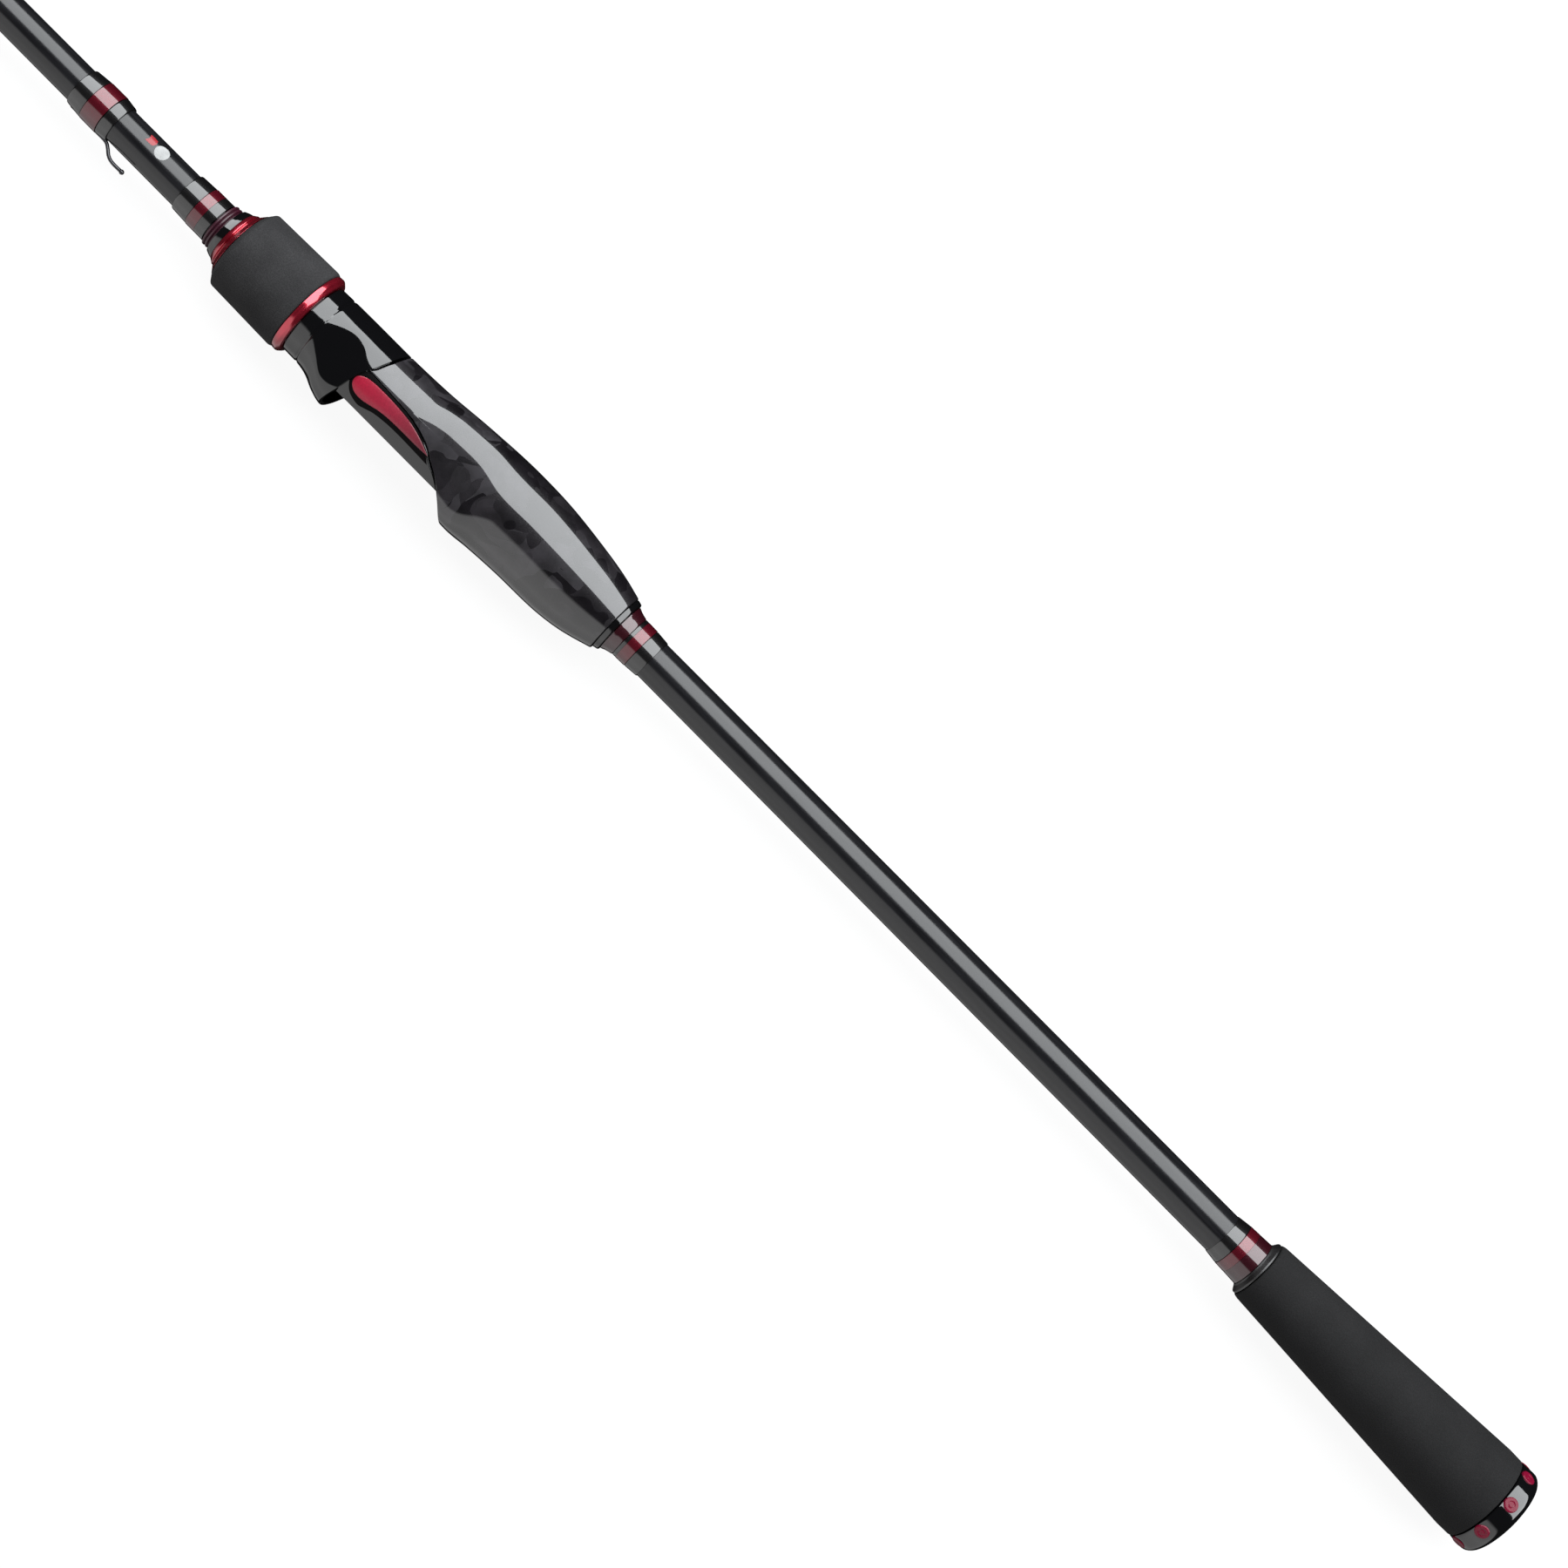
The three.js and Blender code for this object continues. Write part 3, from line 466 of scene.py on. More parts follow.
def metal_material():
    """Dark plated steel wire, faintly drawn along its length."""
    material = new_material("plated_steel", "guide_metal", (0.035, 0.035, 0.038), 0.22, metallic=1.0)
    nodes = Nodes(material)
    nodes.feed("Roughness", nodes.levels(nodes.noise(700, 4), 0.3, 0.7, 0.16, 0.3))
    tone = nodes.ramp(nodes.noise(300, 2), [(0.3, (0.028, 0.028, 0.031)), (0.7, (0.045, 0.045, 0.048))])
    nodes.feed("Base Color", tone)
    return material


def dull_material(name, slot, dark, light, scale):
    """Parts that stay inside: the nut's bare moulding and the foam arbors."""
    material = new_material(name, slot, light, 0.75)
    nodes = Nodes(material)
    nodes.feed("Base Color", nodes.ramp(nodes.noise(scale, 4), [(0.3, dark), (0.7, light)]))
    nodes.bump(nodes.noise(scale * 4, 2), 0.3, 0.0002)
    return material


REAR_FOAM = foam_material("eva_foam_rear", 0.0036)
FRONT_FOAM = foam_material("eva_foam_front", 0.0105)
BLACK = gloss_material("gloss_black", "gloss_black", (0.0012, 0.0012, 0.0014))
SATIN_BLACK = gloss_material("satin_black", "gloss_black", (0.002, 0.0016, 0.0018), 0.35)
GRAPHITE = graphite_material()
CARBON = blank_material()
BLACK_THREAD = thread_material("black_thread", "wrap_black", (0.0018, 0.0016, 0.0018))
RED_THREAD = thread_material("red_thread", "wrap_red", (0.06, 0.0015, 0.006), shine=0.55)
BURGUNDY_THREAD = thread_material("burgundy_thread", "wrap_red", (0.02, 0.0015, 0.004), shine=0.4)
RED = red_metal_material()
INLAY = inlay_material()
STUD_RED = gloss_material("stud_red", "red_metal", (0.068, 0.0015, 0.009), 0.14, specular=0.13)
RED_PRINT = gloss_material("red_print", "wrap_red", (0.13, 0.006, 0.009), 0.2, specular=0.3)
# Near-black and almost unreflecting: painted shade, the colour of the sheet round each inlay that stands for
# the shadow in its recess.
RECESS_SHADE_BLACK = gloss_material("painted_recess_shade", "gloss_black", (0.0012, 0.0009, 0.001), 0.5, specular=0.03)
BURGUNDY = gloss_material("burgundy", "burgundy_check", (0.018, 0.003, 0.007), 0.28, specular=0.3)
PLATED = metal_material()
CERAMIC = gloss_material("ring_ceramic", "guide_ceramic", (0.012, 0.012, 0.014), 0.05)
PALE_PRINT = dull_material("pale_print", "gloss_black", (0.13, 0.132, 0.132), (0.17, 0.172, 0.17), 400)
NUT_BLACK = dull_material("nut_moulding", "nut_black", (0.006, 0.006, 0.006), (0.012, 0.012, 0.012), 300)
ARBOR_FOAM = dull_material("arbor_foam", "arbor", (0.34, 0.28, 0.15), (0.5, 0.42, 0.25), 500)

# ---------------- blank

BUTT_SECTION_END, BLANK_END, BLANK_BUTT_RADIUS = span("butt_blank")
TIP_SECTION_END = span("tip_blank")[0]
FERRULE_BOTTOM, FERRULE_MOUTH, FERRULE_RADIUS = span("tip_ferrule")
BLANK_RADIUS = smooth_curve([(TIP_SECTION_END, 1.05), (-148, 5.41), (BLANK_END, BLANK_BUTT_RADIUS)])
BLANK_WALL = 1.1
TIP_BORE_RADIUS = 0.5
SWELL_LENGTH = 55   # the tip section's tube starts to thicken this far before the ferrule's floor
SOCKET_PLAY = 0.15


def build_blank():
    xs = np.linspace(BUTT_SECTION_END, BLANK_END, 60)
    outside = [(x, BLANK_RADIUS(x)) for x in xs]
    inside = [(x, BLANK_RADIUS(x) - BLANK_WALL) for x in (BLANK_END, BUTT_SECTION_END)]
    add_piece("blank_butt", revolve(outside + inside, SLIM), CARBON, BUTT, ["butt_blank"])

    fade = FERRULE_BOTTOM - SWELL_LENGTH
    thin = [(x, BLANK_RADIUS(x)) for x in np.linspace(TIP_SECTION_END, fade, 60)]
    thick = [(FERRULE_BOTTOM - 25, FERRULE_RADIUS - 0.35), (FERRULE_MOUTH - 40, FERRULE_RADIUS - 0.12),
             (FERRULE_MOUTH - 0.3, FERRULE_RADIUS), (FERRULE_MOUTH, FERRULE_RADIUS - 0.25)]
    socket = [(x, BLANK_RADIUS(x) + SOCKET_PLAY) for x in (FERRULE_MOUTH, BUTT_SECTION_END)]
    hollow = [(fade, BLANK_RADIUS(fade) - BLANK_WALL), (TIP_SECTION_END, TIP_BORE_RADIUS)]
    tip = revolve(thin + thick + socket + hollow, SLIM)
    add_piece("blank_tip", tip, CARBON, TIP, ["tip_blank", "tip_ferrule"])


# ---------------- butt

STUD_COUNT = 8
FIRST_STUD = radians(15)
STUD_LIFT = 0.14    # how far a stud stands over the cap's edge
GRIP_BORE = 6.6


def build_butt():
    front, back, radius = span("butt_cap")
    outline = [
        (front + 3, 0), (front + 3, radius - 3), (front, radius - 3), (front, radius - 0.25),
        (back - 2.4, radius - 0.05), (back - 0.9, radius - 1.3), (back, radius - 4.2), (back, 0),
    ]
    cap = revolve(rounded(outline, 0.9, closed=False), ROUND, closed=False)
    add_piece("butt_cap_moulding", cap, BLACK, BUTT, ["butt_cap"])
    build_studs(radius + STUD_LIFT)

    front, back, radius = span("rear_grip")
    swell = back - 4.5
    outline = [(front, GRIP_BORE), (front, 9.3), (front + 1.2, 9.6), (swell, radius), (back, radius - 0.1),
               (back, GRIP_BORE)]
    grip = add_turned("rear_grip_foam", outline, 0.5, REAR_FOAM, BUTT, ["rear_grip"])

    front, back, radius = span("rear_check")
    outline = [(front, 6.5), (front, 7.3), (front + 0.5, 7.7), (back - 0.5, radius), (back, radius),
               (back, GRIP_BORE)]
    add_turned("rear_check_cone", outline, 0.25, SATIN_BLACK, BUTT, ["rear_check"])


def build_studs(tip):
    """The studs in a ring round the butt cap."""
    front, back, _ = span("cap_insert_ring")
    spacing = 2 * pi / STUD_COUNT
    studs = [stud((front + back) / 2, FIRST_STUD + spacing * i, tip) for i in range(STUD_COUNT)]
    add_piece("cap_studs", joined(*studs), STUD_RED, BUTT, ["cap_insert_ring"])


def stud(x, angle, tip):
    """A button with a rolled rim and a dished face, pointing outwards."""
    rim, base = 2.2, tip - 2.2
    profile = [(base, 0), (base, rim), (tip - 0.5, rim), (tip - 0.1, rim - 0.2), (tip, 1.5), (tip, 1.15),
               (tip - 0.16, 0.9), (tip, 0.6), (tip, 0)]
    body = revolve(rounded(profile, 0.18, closed=False), 24, closed=False)

    def turn(p):
        out, across, along = p.x, p.y, p.z
        return (x + along,
                out * sin(angle) + across * cos(angle),
                out * cos(angle) - across * sin(angle))

    return placed(body, turn)


# ---------------- thread wraps

STEP_EASE = 0.08    # the edge where one part of a wrap meets the next


def wound_sleeve(x0, x1, r0, r1, ease):
    """Thread on the blank between two places, with a radius at each end."""
    bore = min(BLANK_RADIUS(x0), BLANK_RADIUS(x1)) - 0.2
    middle = (x0 + x1) / 2
    outline = [(x0, bore), (x0, r0), (middle, (r0 + r1) / 2), (x1, r1), (x1, bore)]
    return revolve(rounded(outline, ease), SLIM)


def build_banded_wrap(wrap, band, radii, end_eases, back_material=BLACK_THREAD, overrun=0.0):
    """A wrap in three parts, the middle one a red band, with the two end radii of each part."""
    front, back, _ = span(wrap)
    band_front, band_back, _ = span(band)
    places = (front, band_front, band_back, back + overrun)
    eases = (end_eases[0], STEP_EASE, end_eases[1])
    parts = (("front", BLACK_THREAD, [wrap]), ("band", RED_THREAD, [band]), ("back", back_material, ()))
    for i, (part, material, stands_for) in enumerate(parts):
        sleeve = wound_sleeve(places[i], places[i + 1], *radii[i], eases[i])
        add_piece(f"{wrap}_{part}", sleeve, material, BUTT, stands_for)


def build_seat_wrap():
    """Behind the reel seat: a burgundy cone, then black thread with a red band."""
    front, back, radius = span("seat_rear_wrap")
    band_front, band_back, _ = span("seat_rear_band")
    cone_front, cone_back, bore = front + 0.3, 82.9, 5.7
    cone = [(cone_front, bore), (cone_front, radius - 0.05), (front + 1.8, 7.15), (cone_back, 6.62),
            (cone_back, bore)]
    add_turned("seat_wrap_cone", cone, 0.5, BURGUNDY_THREAD, BUTT, sides=SLIM)
    sleeves = (
        ("front", (cone_back, band_front, 6.6, 6.58, STEP_EASE), BLACK_THREAD, ()),
        ("band", (band_front, band_back, 6.62, 6.55, STEP_EASE), RED_THREAD, ["seat_rear_band"]),
        ("back", (band_back, back, 6.5, 6.15, 0.5), BLACK_THREAD, ["seat_rear_wrap"]),
    )
    for part, sizes, material, stands_for in sleeves:
        add_piece(f"seat_wrap_{part}", wound_sleeve(*sizes), material, BUTT, stands_for)


def build_front_check():
    """The ribbed check in front of the foregrip."""
    front, back, radius = span("front_check")
    bore, valley, ribs = 5.6, 6.35, 3
    step = (back - front) / ribs
    outline = [(front, bore), (front, 6.3)]
    for i in range(ribs):
        outline += [(front + (i + 0.3) * step, radius), (front + (i + 0.7) * step, radius),
                    (front + (i + 1) * step, valley)]
    outline.append((back, bore))
    add_turned("front_check_ribs", outline, 0.2, BURGUNDY, BUTT, ["front_check"], SLIM)


def build_plain_wrap(node, body):
    front, back, radius = span(node)
    inner, end_radius = radius - 0.6, radius - 0.25
    outline = [(front, inner), (front, end_radius), (front + 1, radius), (back - 1, radius),
               (back, end_radius), (back, inner)]
    add_turned(node + "_thread", outline, 0.3, BLACK_THREAD, body, [node], SLIM)


def build_wraps():
    build_banded_wrap("rear_wrap", "rear_band", ((6.45, 6.98), (7.0, 7.12), (7.1, 7.3)), (0.5, STEP_EASE),
                      BURGUNDY_THREAD, overrun=0.2)
    build_seat_wrap()
    build_banded_wrap("front_wrap", "front_band", ((6.05, 6.32), (6.4, 6.42), (6.4, 6.45)), (0.5, STEP_EASE))
    build_banded_wrap("keeper_wrap", "keeper_band", ((5.95, 6.5), (6.52, 6.55), (6.5, 6.0)), (0.6, 0.6))
    build_front_check()
    for node, body in (("butt_ferrule_wrap", BUTT), ("tip_ferrule_wrap", TIP), ("tip_top_wrap", TIP)):
        build_plain_wrap(node, body)


# ---------------- reel seat

# How far the seat reaches from the axis along its length, and how square each half of its section is.
SEAT_TOP = smooth_curve([
    (-45, 11.5), (-14, 11.6), (2, 12.2), (16, 13.4), (34, 14.3), (46, 14), (60, 12.5), (70, 10.9), (80, 8.4),
])
SEAT_UNDERSIDE = smooth_curve([
    (-45, 14), (-14, 14), (18, 14.5), (27, 15.05), (34, 14.4), (44, 13.8), (60, 13.35), (68, 12.2), (80, 8.8),
])
SEAT_HALF_WIDTH = smooth_curve([
    (-45, 11.6), (-14, 11.7), (2, 12), (22, 12.55), (33, 12.4), (44, 12.1), (60, 11.2), (70, 10.1), (80, 8.5),
])
UPPER_SQUARENESS = smooth_curve([
    (-20, 2.0), (0, 2.0), (6, 2.5), (11, 2.75), (22, 2.7), (31, 2.12), (44, 2.1), (60, 2.08), (80, 2.0),
])
LOWER_SQUARENESS = smooth_curve([(-20, 2.0), (2, 2.2), (14, 3.3), (24, 4.2), (31, 2.5), (36, 2.0), (80, 2.0)])
BED_DEPTH = AXIS.y / MM
BARREL_ROOM = 9.4
SHELL_BACK = span("palm_shell")[1] + 0.6
ROOM_RADIUS = smooth_curve([(60, BARREL_ROOM), (80, BARREL_ROOM - 2)])

# Edges seen from the side as (x, y), from the top down: the fixed cover's rim, then along the bed and
# round the fixed hood's mouth, and the moving hood's mouth.
RIM_LINE = [(-12.4, 14), (-13.1, 10), (-14, 7), (-15.6, 2.5), (-16.6, 1.1)]
SHELL_LINE = [
    *RIM_LINE, (-13.1, 0.95), (-8.2, 0.7), (-3.2, 0.4), (1.7, -0.1), (6.6, -1.5), (9.6, -2.8), (11.5, -4.3),
    (15.5, -6.5), (19.3, -9.3), (21.1, -11.2), (24.5, -14.7), (26.4, -16.5),
]
HOOD_LINE = [
    (-13.2, 13), (-13.9, 10), (-14.8, 7), (-16.4, 2.5), (-18.2, -1), (-19.3, -5), (-20.1, -9), (-21.4, -13),
    (-22.6, -16.5),
]


def signed_power(value, power):
    return copysign(abs(value) ** power, value)


def oval_point(x, angle, top, underside, half_width, upper, lower):
    """A point of an oval section: angle 0 is the top (+y), pi the reel side. Each half has its squareness."""
    c, s = cos(angle), sin(angle)
    power = 2 / (upper if c > 0 else lower)
    reach = top if c > 0 else underside
    return Vector((x, signed_power(c, power) * reach, signed_power(s, power) * half_width))


def seat_skin(x, angle, inset=0.0):
    """The outside of the seat, or a surface that much inside it."""
    return oval_point(x, angle, SEAT_TOP(x) - inset, SEAT_UNDERSIDE(x) - inset, SEAT_HALF_WIDTH(x) - inset,
                      UPPER_SQUARENESS(x), LOWER_SQUARENESS(x))


def fixed_hood_room(x, angle):
    """The palm shell's inside: round over the barrel, with a pocket for the reel foot on the reel side."""
    round_point = Vector(around(x, ROOM_RADIUS(x), angle))
    from_bottom = abs(degrees(angle) - 180)
    share = (1 - step_between(34, 50, from_bottom)) * (1 - step_between(27, 38, x))
    return round_point.lerp(seat_skin(x, angle, 1.35), share)


def trimmed_x(line, surface, angle):
    """Where a surface's line at one angle meets a trim line drawn from the side, from the top down."""
    low, high = 0.0, len(line) - 1.0

    def place(t):
        i = min(int(t), len(line) - 2)
        (x0, y0), (x1, y1) = line[i], line[i + 1]
        return x0 + (x1 - x0) * (t - i), y0 + (y1 - y0) * (t - i)

    for _ in range(40):
        middle = (low + high) / 2
        x, y = place(middle)
        if y > surface(x, angle).y:
            low = middle
        else:
            high = middle
    return place(low)[0]


def trimmed_shell(line, outer, inner, far_end, rows, ease, sides=192):
    """A shell between two skins that ends square at far_end and along a trim line at its other end."""
    columns = []
    for angle in full_turn(sides):
        folded = min(angle, 2 * pi - angle)
        out_x = trimmed_x(line, outer, folded)
        in_x = trimmed_x(line, inner, folded)
        shares = np.linspace(0, 1, rows) ** 1.3
        skin = [outer(out_x + (far_end - out_x) * u, angle) for u in shares]
        lining = [inner(in_x + (far_end - in_x) * u, angle) for u in shares]
        column = soft_corner(lining[1], lining[0], skin[0], ease)
        column += soft_corner(lining[0], skin[0], skin[1], ease)
        column += skin[1:-1]
        column += soft_corner(skin[-2], skin[-1], lining[-1], ease)
        column += soft_corner(skin[-1], lining[-1], lining[-2], ease)
        column += lining[-2:0:-1]
        columns.append([tuple(p) for p in column])
    points = [columns[j][i] for i in range(len(columns[0])) for j in range(sides)]
    return points, grid_faces(len(columns[0]), sides, True, True)


# The red plate beside the bed and the black sheet round it, which is painted shade for the shadow of the
# plate's recess, seen from the side as (x, y), each from its tail.
PLATE_OUTLINE = closed_curve([
    (10.6, -4.3), (6.6, -2.7), (1.6, -1.3), (-3.3, -0.7), (-8.2, -0.45), (-13.1, -0.5), (-16.3, -1),
    (-18.2, -2.2), (-18.5, -3.8), (-17.6, -5.2), (-15.8, -6.1), (-13.1, -6.2), (-10.2, -5.6), (-7.2, -4.95),
    (-3.3, -4.6), (1.6, -4.5), (6.6, -4.5),
])
RECESS_SHADE_OUTLINE = closed_curve([
    (12, -6.1), (9.5, -3.9), (6.6, -2.2), (1.6, -0.6), (-3.3, 0.1), (-8.2, 0.5), (-13.1, 0.65), (-17, 0.4),
    (-19, -1.4), (-19.4, -3.8), (-18.6, -5.6), (-16.6, -7.2), (-13.4, -7.9), (-11.2, -7.4), (-8.2, -6.5),
    (-3.3, -5.95), (1.6, -5.85), (6.6, -5.95),
])
PLATE_CENTRE = (-10, -2.8)
TONGUE_FRONT = -20
TONGUE_BACK = 21.5
TONGUE_INSET = 0.3
TONGUE_SQUARENESS = 2.1
SEAM_WIDTH = 0.3
SEAM_DEPTH = 0.5
SEAM_HEIGHT = smooth_curve(SHELL_LINE[4:-3])


def tongue_skin_z(x, y):
    """Half the tongue's width at a height y."""
    reach = (SEAT_TOP(x) if y > 0 else SEAT_UNDERSIDE(x)) - TONGUE_INSET
    share = min(abs(y) / reach, 1)
    narrowing = (1 - share**TONGUE_SQUARENESS) ** (1 / TONGUE_SQUARENESS)
    return (SEAT_HALF_WIDTH(x) - TONGUE_INSET) * narrowing


def tongue_section(x):
    """The seat body beside the bed at one x: grooved along the shell's edge, then down to the flat bed."""
    seam = SEAM_HEIGHT(x) - SEAM_WIDTH
    near_seam = [seam + SEAM_WIDTH * share for share in (4, 2, 1.2, 0.6, 0, -0.6, -1.2, -2)]
    heights = near_seam + list(np.linspace(near_seam[-1], -BED_DEPTH, 20)[1:])
    near = []
    for height in heights:
        height = max(height, -BED_DEPTH)
        groove = SEAM_DEPTH * exp(-(((height - seam) / SEAM_WIDTH) ** 2))
        near.append(Vector((x, height, tongue_skin_z(x, height) - groove)))
    far = [Vector((p.x, p.y, -p.z)) for p in reversed(near)]
    return near + far


def build_tongue():
    """The seat body on both sides of the bed."""
    sections = [tongue_section(x) for x in np.linspace(TONGUE_FRONT, TONGUE_BACK, 90)]
    rows, width = len(sections), len(sections[0])
    points = [tuple(p) for section in sections for p in section]
    faces = grid_faces(rows, width, False, True)
    faces.append(tuple(range(width)))
    faces.append(tuple((rows - 1) * width + j for j in reversed(range(width))))
    return points, faces


def domed_plate(outline, side, rings):
    """A thin plate laid on the tongue's skin. Each ring is (share of the outline, height over the skin)."""
    centre = Vector(PLATE_CENTRE)
    points = []
    for share, height in rings:
        for corner in outline:
            p = centre.lerp(Vector(corner), share)
            points.append((p.x, p.y, side * (tongue_skin_z(p.x, p.y) + height)))
    count = len(outline)
    points.append((centre.x, centre.y, side * (tongue_skin_z(*centre) + rings[-1][1])))
    last = (len(rings) - 1) * count
    faces = grid_faces(len(rings), count, False, True)
    faces += [(last + j, last + (j + 1) % count, len(points) - 1) for j in range(count)]
    faces.append(tuple(reversed(range(count))))
    return points, faces


BARREL_SHOULDER = -44.5
BARREL_BORE = 7.2
THREAD_CORE = 8.3
THREAD_CREST = 9.1
THREAD_PITCH = 3.0
THREAD_START = -66.6
THREAD_TURNS = 6
THREAD_STEPS = 48       # stations in one turn


def build_barrel():
    front, back, _ = span("seat_body")
    outline = [(front, BARREL_BORE), (front, THREAD_CORE), (BARREL_SHOULDER, THREAD_CORE),
               (BARREL_SHOULDER + 0.6, THREAD_CREST), (back, THREAD_CREST), (back, BARREL_BORE)]
    return revolve(rounded(outline, 0.3))


def build_thread():
    """A ridge wound round the barrel's core, which rises and fades over half a turn at its ends."""
    last = THREAD_TURNS * THREAD_STEPS
    points = []
    for i in range(last + 1):
        angle = 2 * pi * i / THREAD_STEPS
        x = THREAD_START + THREAD_PITCH * i / THREAD_STEPS
        fade = min(1, 2 * i / THREAD_STEPS, 2 * (last - i) / THREAD_STEPS)
        height = THREAD_CORE + (THREAD_CREST - THREAD_CORE) * fade
        flank = [(-0.75, THREAD_CORE - 0.3), (-0.45, height - 0.08), (-0.3, height)]
        for offset, radius in flank + [(-across, reach) for across, reach in reversed(flank)]:
            points.append(around(x + offset, radius, angle))
    width = len(points) // (last + 1)
    faces = grid_faces(last + 1, width, False, True)
    faces += [tuple(reversed(range(width))), tuple(len(points) - width + k for k in range(width))]
    return points, faces


# A plate's rings from its edge inwards, as (share of the outline, height over the tongue).
# The black sheet's rings: painted shade for the shadow of the plate's recess.
RECESS_SHADE_RINGS = [(1.0, -0.6), (1.0, -0.05), (0.985, 0.08), (0.95, 0.1), (0.7, 0.1), (0.35, 0.1)]
PLATE_RINGS = [
    (1.0, -0.3), (1.0, 0.13), (0.98, 0.2), (0.93, 0.22), (0.85, 0.24), (0.7, 0.27), (0.5, 0.29), (0.25, 0.3),
]
COLLAR_BORE = 5.9


def build_seat():
    shell = trimmed_shell(SHELL_LINE, seat_skin, fixed_hood_room, SHELL_BACK, 110, 0.4)
    add_piece("palm_shell_cover", shell, GRAPHITE, BUTT, ["palm_shell"])
    moulding = joined(build_barrel(), build_thread(), build_tongue())
    add_piece("seat_body_moulding", moulding, BLACK, BUTT, ["seat_body"], crease=50)
    # The black sheets round the plates are painted shade for the shadow of their recesses.
    shade_sheets = [domed_plate(RECESS_SHADE_OUTLINE, side, RECESS_SHADE_RINGS) for side in (-1, 1)]
    add_piece("inlay_recess_shade", joined(*shade_sheets), RECESS_SHADE_BLACK, BUTT)
    for name, side in (("inlay_left", -1), ("inlay_right", 1)):
        add_piece(name + "_plate", domed_plate(PLATE_OUTLINE, side, PLATE_RINGS), INLAY, BUTT, [name])

    _, back, radius = span("seat_end_ring")
    front, back = SHELL_BACK + 0.12, back + 0.5
    outline = [(front, COLLAR_BORE), (front, radius), (back, radius - 0.4), (back, COLLAR_BORE)]
    add_turned("seat_end_collar", outline, 0.35, BLACK, BUTT, ["seat_end_ring"])


# ---------------- moving hood, foregrip and its rings

HOOD_COLLAR = -39.6
HOOD_TOP = smooth_curve([(HOOD_COLLAR, 11.35), (-34, 11.5), (-12, 11.6)])
HOOD_UNDERSIDE = smooth_curve([
    (HOOD_COLLAR, 11.5), (-33, 11.8), (-30, 12.5), (-26, 14.2), (-22.5, 15.15), (-12, 15.4),
])
HOOD_HALF_WIDTH = smooth_curve([(HOOD_COLLAR, 11.45), (-33, 11.6), (-26, 12.1), (-12, 12.2)])
HOOD_SQUARENESS = smooth_curve([(HOOD_COLLAR, 2.0), (-35, 2.05), (-30, 2.5), (-25, 2.85), (-12, 2.6)])
HOOD_FLANK = smooth_curve([
    (HOOD_COLLAR, 12.4), (-36, 11.8), (-31, 11), (-26.5, 10.65), (-22.5, 11.1), (-19, 12), (-12, 12.6),
])
HOOD_TOP_SQUARENESS = 2.05
FLANK_EASE = 0.22
COLLAR_JOINT = -34.9


def hood_skin(x, angle, inset=0.0):
    """The moving hood's outside: round on top, squarer below, with its flanks pressed in."""
    groove = 0.35 * exp(-(((x - COLLAR_JOINT) / 0.4) ** 2)) if inset == 0 else 0
    cut = inset + groove
    point = oval_point(x, angle, HOOD_TOP(x) - cut, HOOD_UNDERSIDE(x) - cut, HOOD_HALF_WIDTH(x) - cut,
                       HOOD_TOP_SQUARENESS, HOOD_SQUARENESS(x))
    flank = HOOD_FLANK(x) - cut
    pressed = -FLANK_EASE * log(exp(-abs(point.z) / FLANK_EASE) + exp(-flank / FLANK_EASE))
    point.z = copysign(max(pressed, 0), point.z)
    return point


def hood_room(x, angle):
    """The moving hood's inside: round over the barrel, with a pocket for the reel foot towards its mouth."""
    round_point = Vector(around(x, BARREL_ROOM, angle))
    from_bottom = abs(degrees(angle) - 180)
    share = (1 - step_between(42, 62, from_bottom)) * step_between(-34, -26, x)
    return round_point.lerp(hood_skin(x, angle, 1.15), share)


def build_hood():
    shell = trimmed_shell(HOOD_LINE, hood_skin, hood_room, HOOD_COLLAR, 130, 0.35)
    front, flange_back, neck_back = -42.3, -41.5, HOOD_COLLAR + 0.4
    flange, neck = 10.9, 10.2
    outline = [(front, BARREL_ROOM), (front, flange), (flange_back, flange), (flange_back, neck),
               (neck_back, neck), (neck_back, BARREL_ROOM)]
    body = joined(shell, revolve(rounded(outline, 0.1)))
    add_piece("moving_hood_shell", body, BLACK, HOOD, ["moving_hood"])


def build_foregrip():
    front, back, radius = span("foregrip")
    lip, bore = front + 0.8, 10.3
    outline = [(lip, bore), (lip, 11.4), (front + 2.2, 13.25), (back - 0.9, radius), (back, radius - 0.4),
               (back, bore)]
    grip = add_turned("foregrip_foam", outline, 0.45, FRONT_FOAM, NUT, ["foregrip"])


def build_grip_rings():
    """The rings at the foregrip's two ends. The front one has a black nose and a groove in its red part."""
    front, back, radius = span("nut_rear_ring")
    lip = front - 0.2
    outline = [(lip, 10.6), (lip, radius - 0.1), (front + 1.3, radius), (back, radius - 1.1), (back, 10.5)]
    add_turned("rear_ring_red", outline, 0.4, RED, NUT, ["nut_rear_ring"])

    front, back, radius = span("nut_front_ring")
    joint, bore = front + 2.3, 7.3
    outline = [(front, bore), (front, 7.5), (front + 1.2, 8.0), (joint, 8.3), (joint, bore)]
    add_turned("front_ring_black", outline, 0.25, BLACK, NUT)
    groove, grip_end = (joint + back) / 2 + 0.4, back + 0.85
    outline = [(joint, bore), (joint, 8.35), (groove - 0.4, 9.2), (groove, 8.7), (groove + 0.4, 9.6),
               (grip_end, radius + 0.8), (grip_end, bore)]
    add_turned("front_ring_red", outline, 0.2, RED, NUT, ["nut_front_ring"])


# ---------------- hook keeper and printed marks

KEEPER_REACH = -8.9     # the wire's free end runs this far out on the reel side
KEEPER_FOOT = -5.85     # its flat foot lies on the blank, under the thread
KEEPER_RADIUS = 0.53


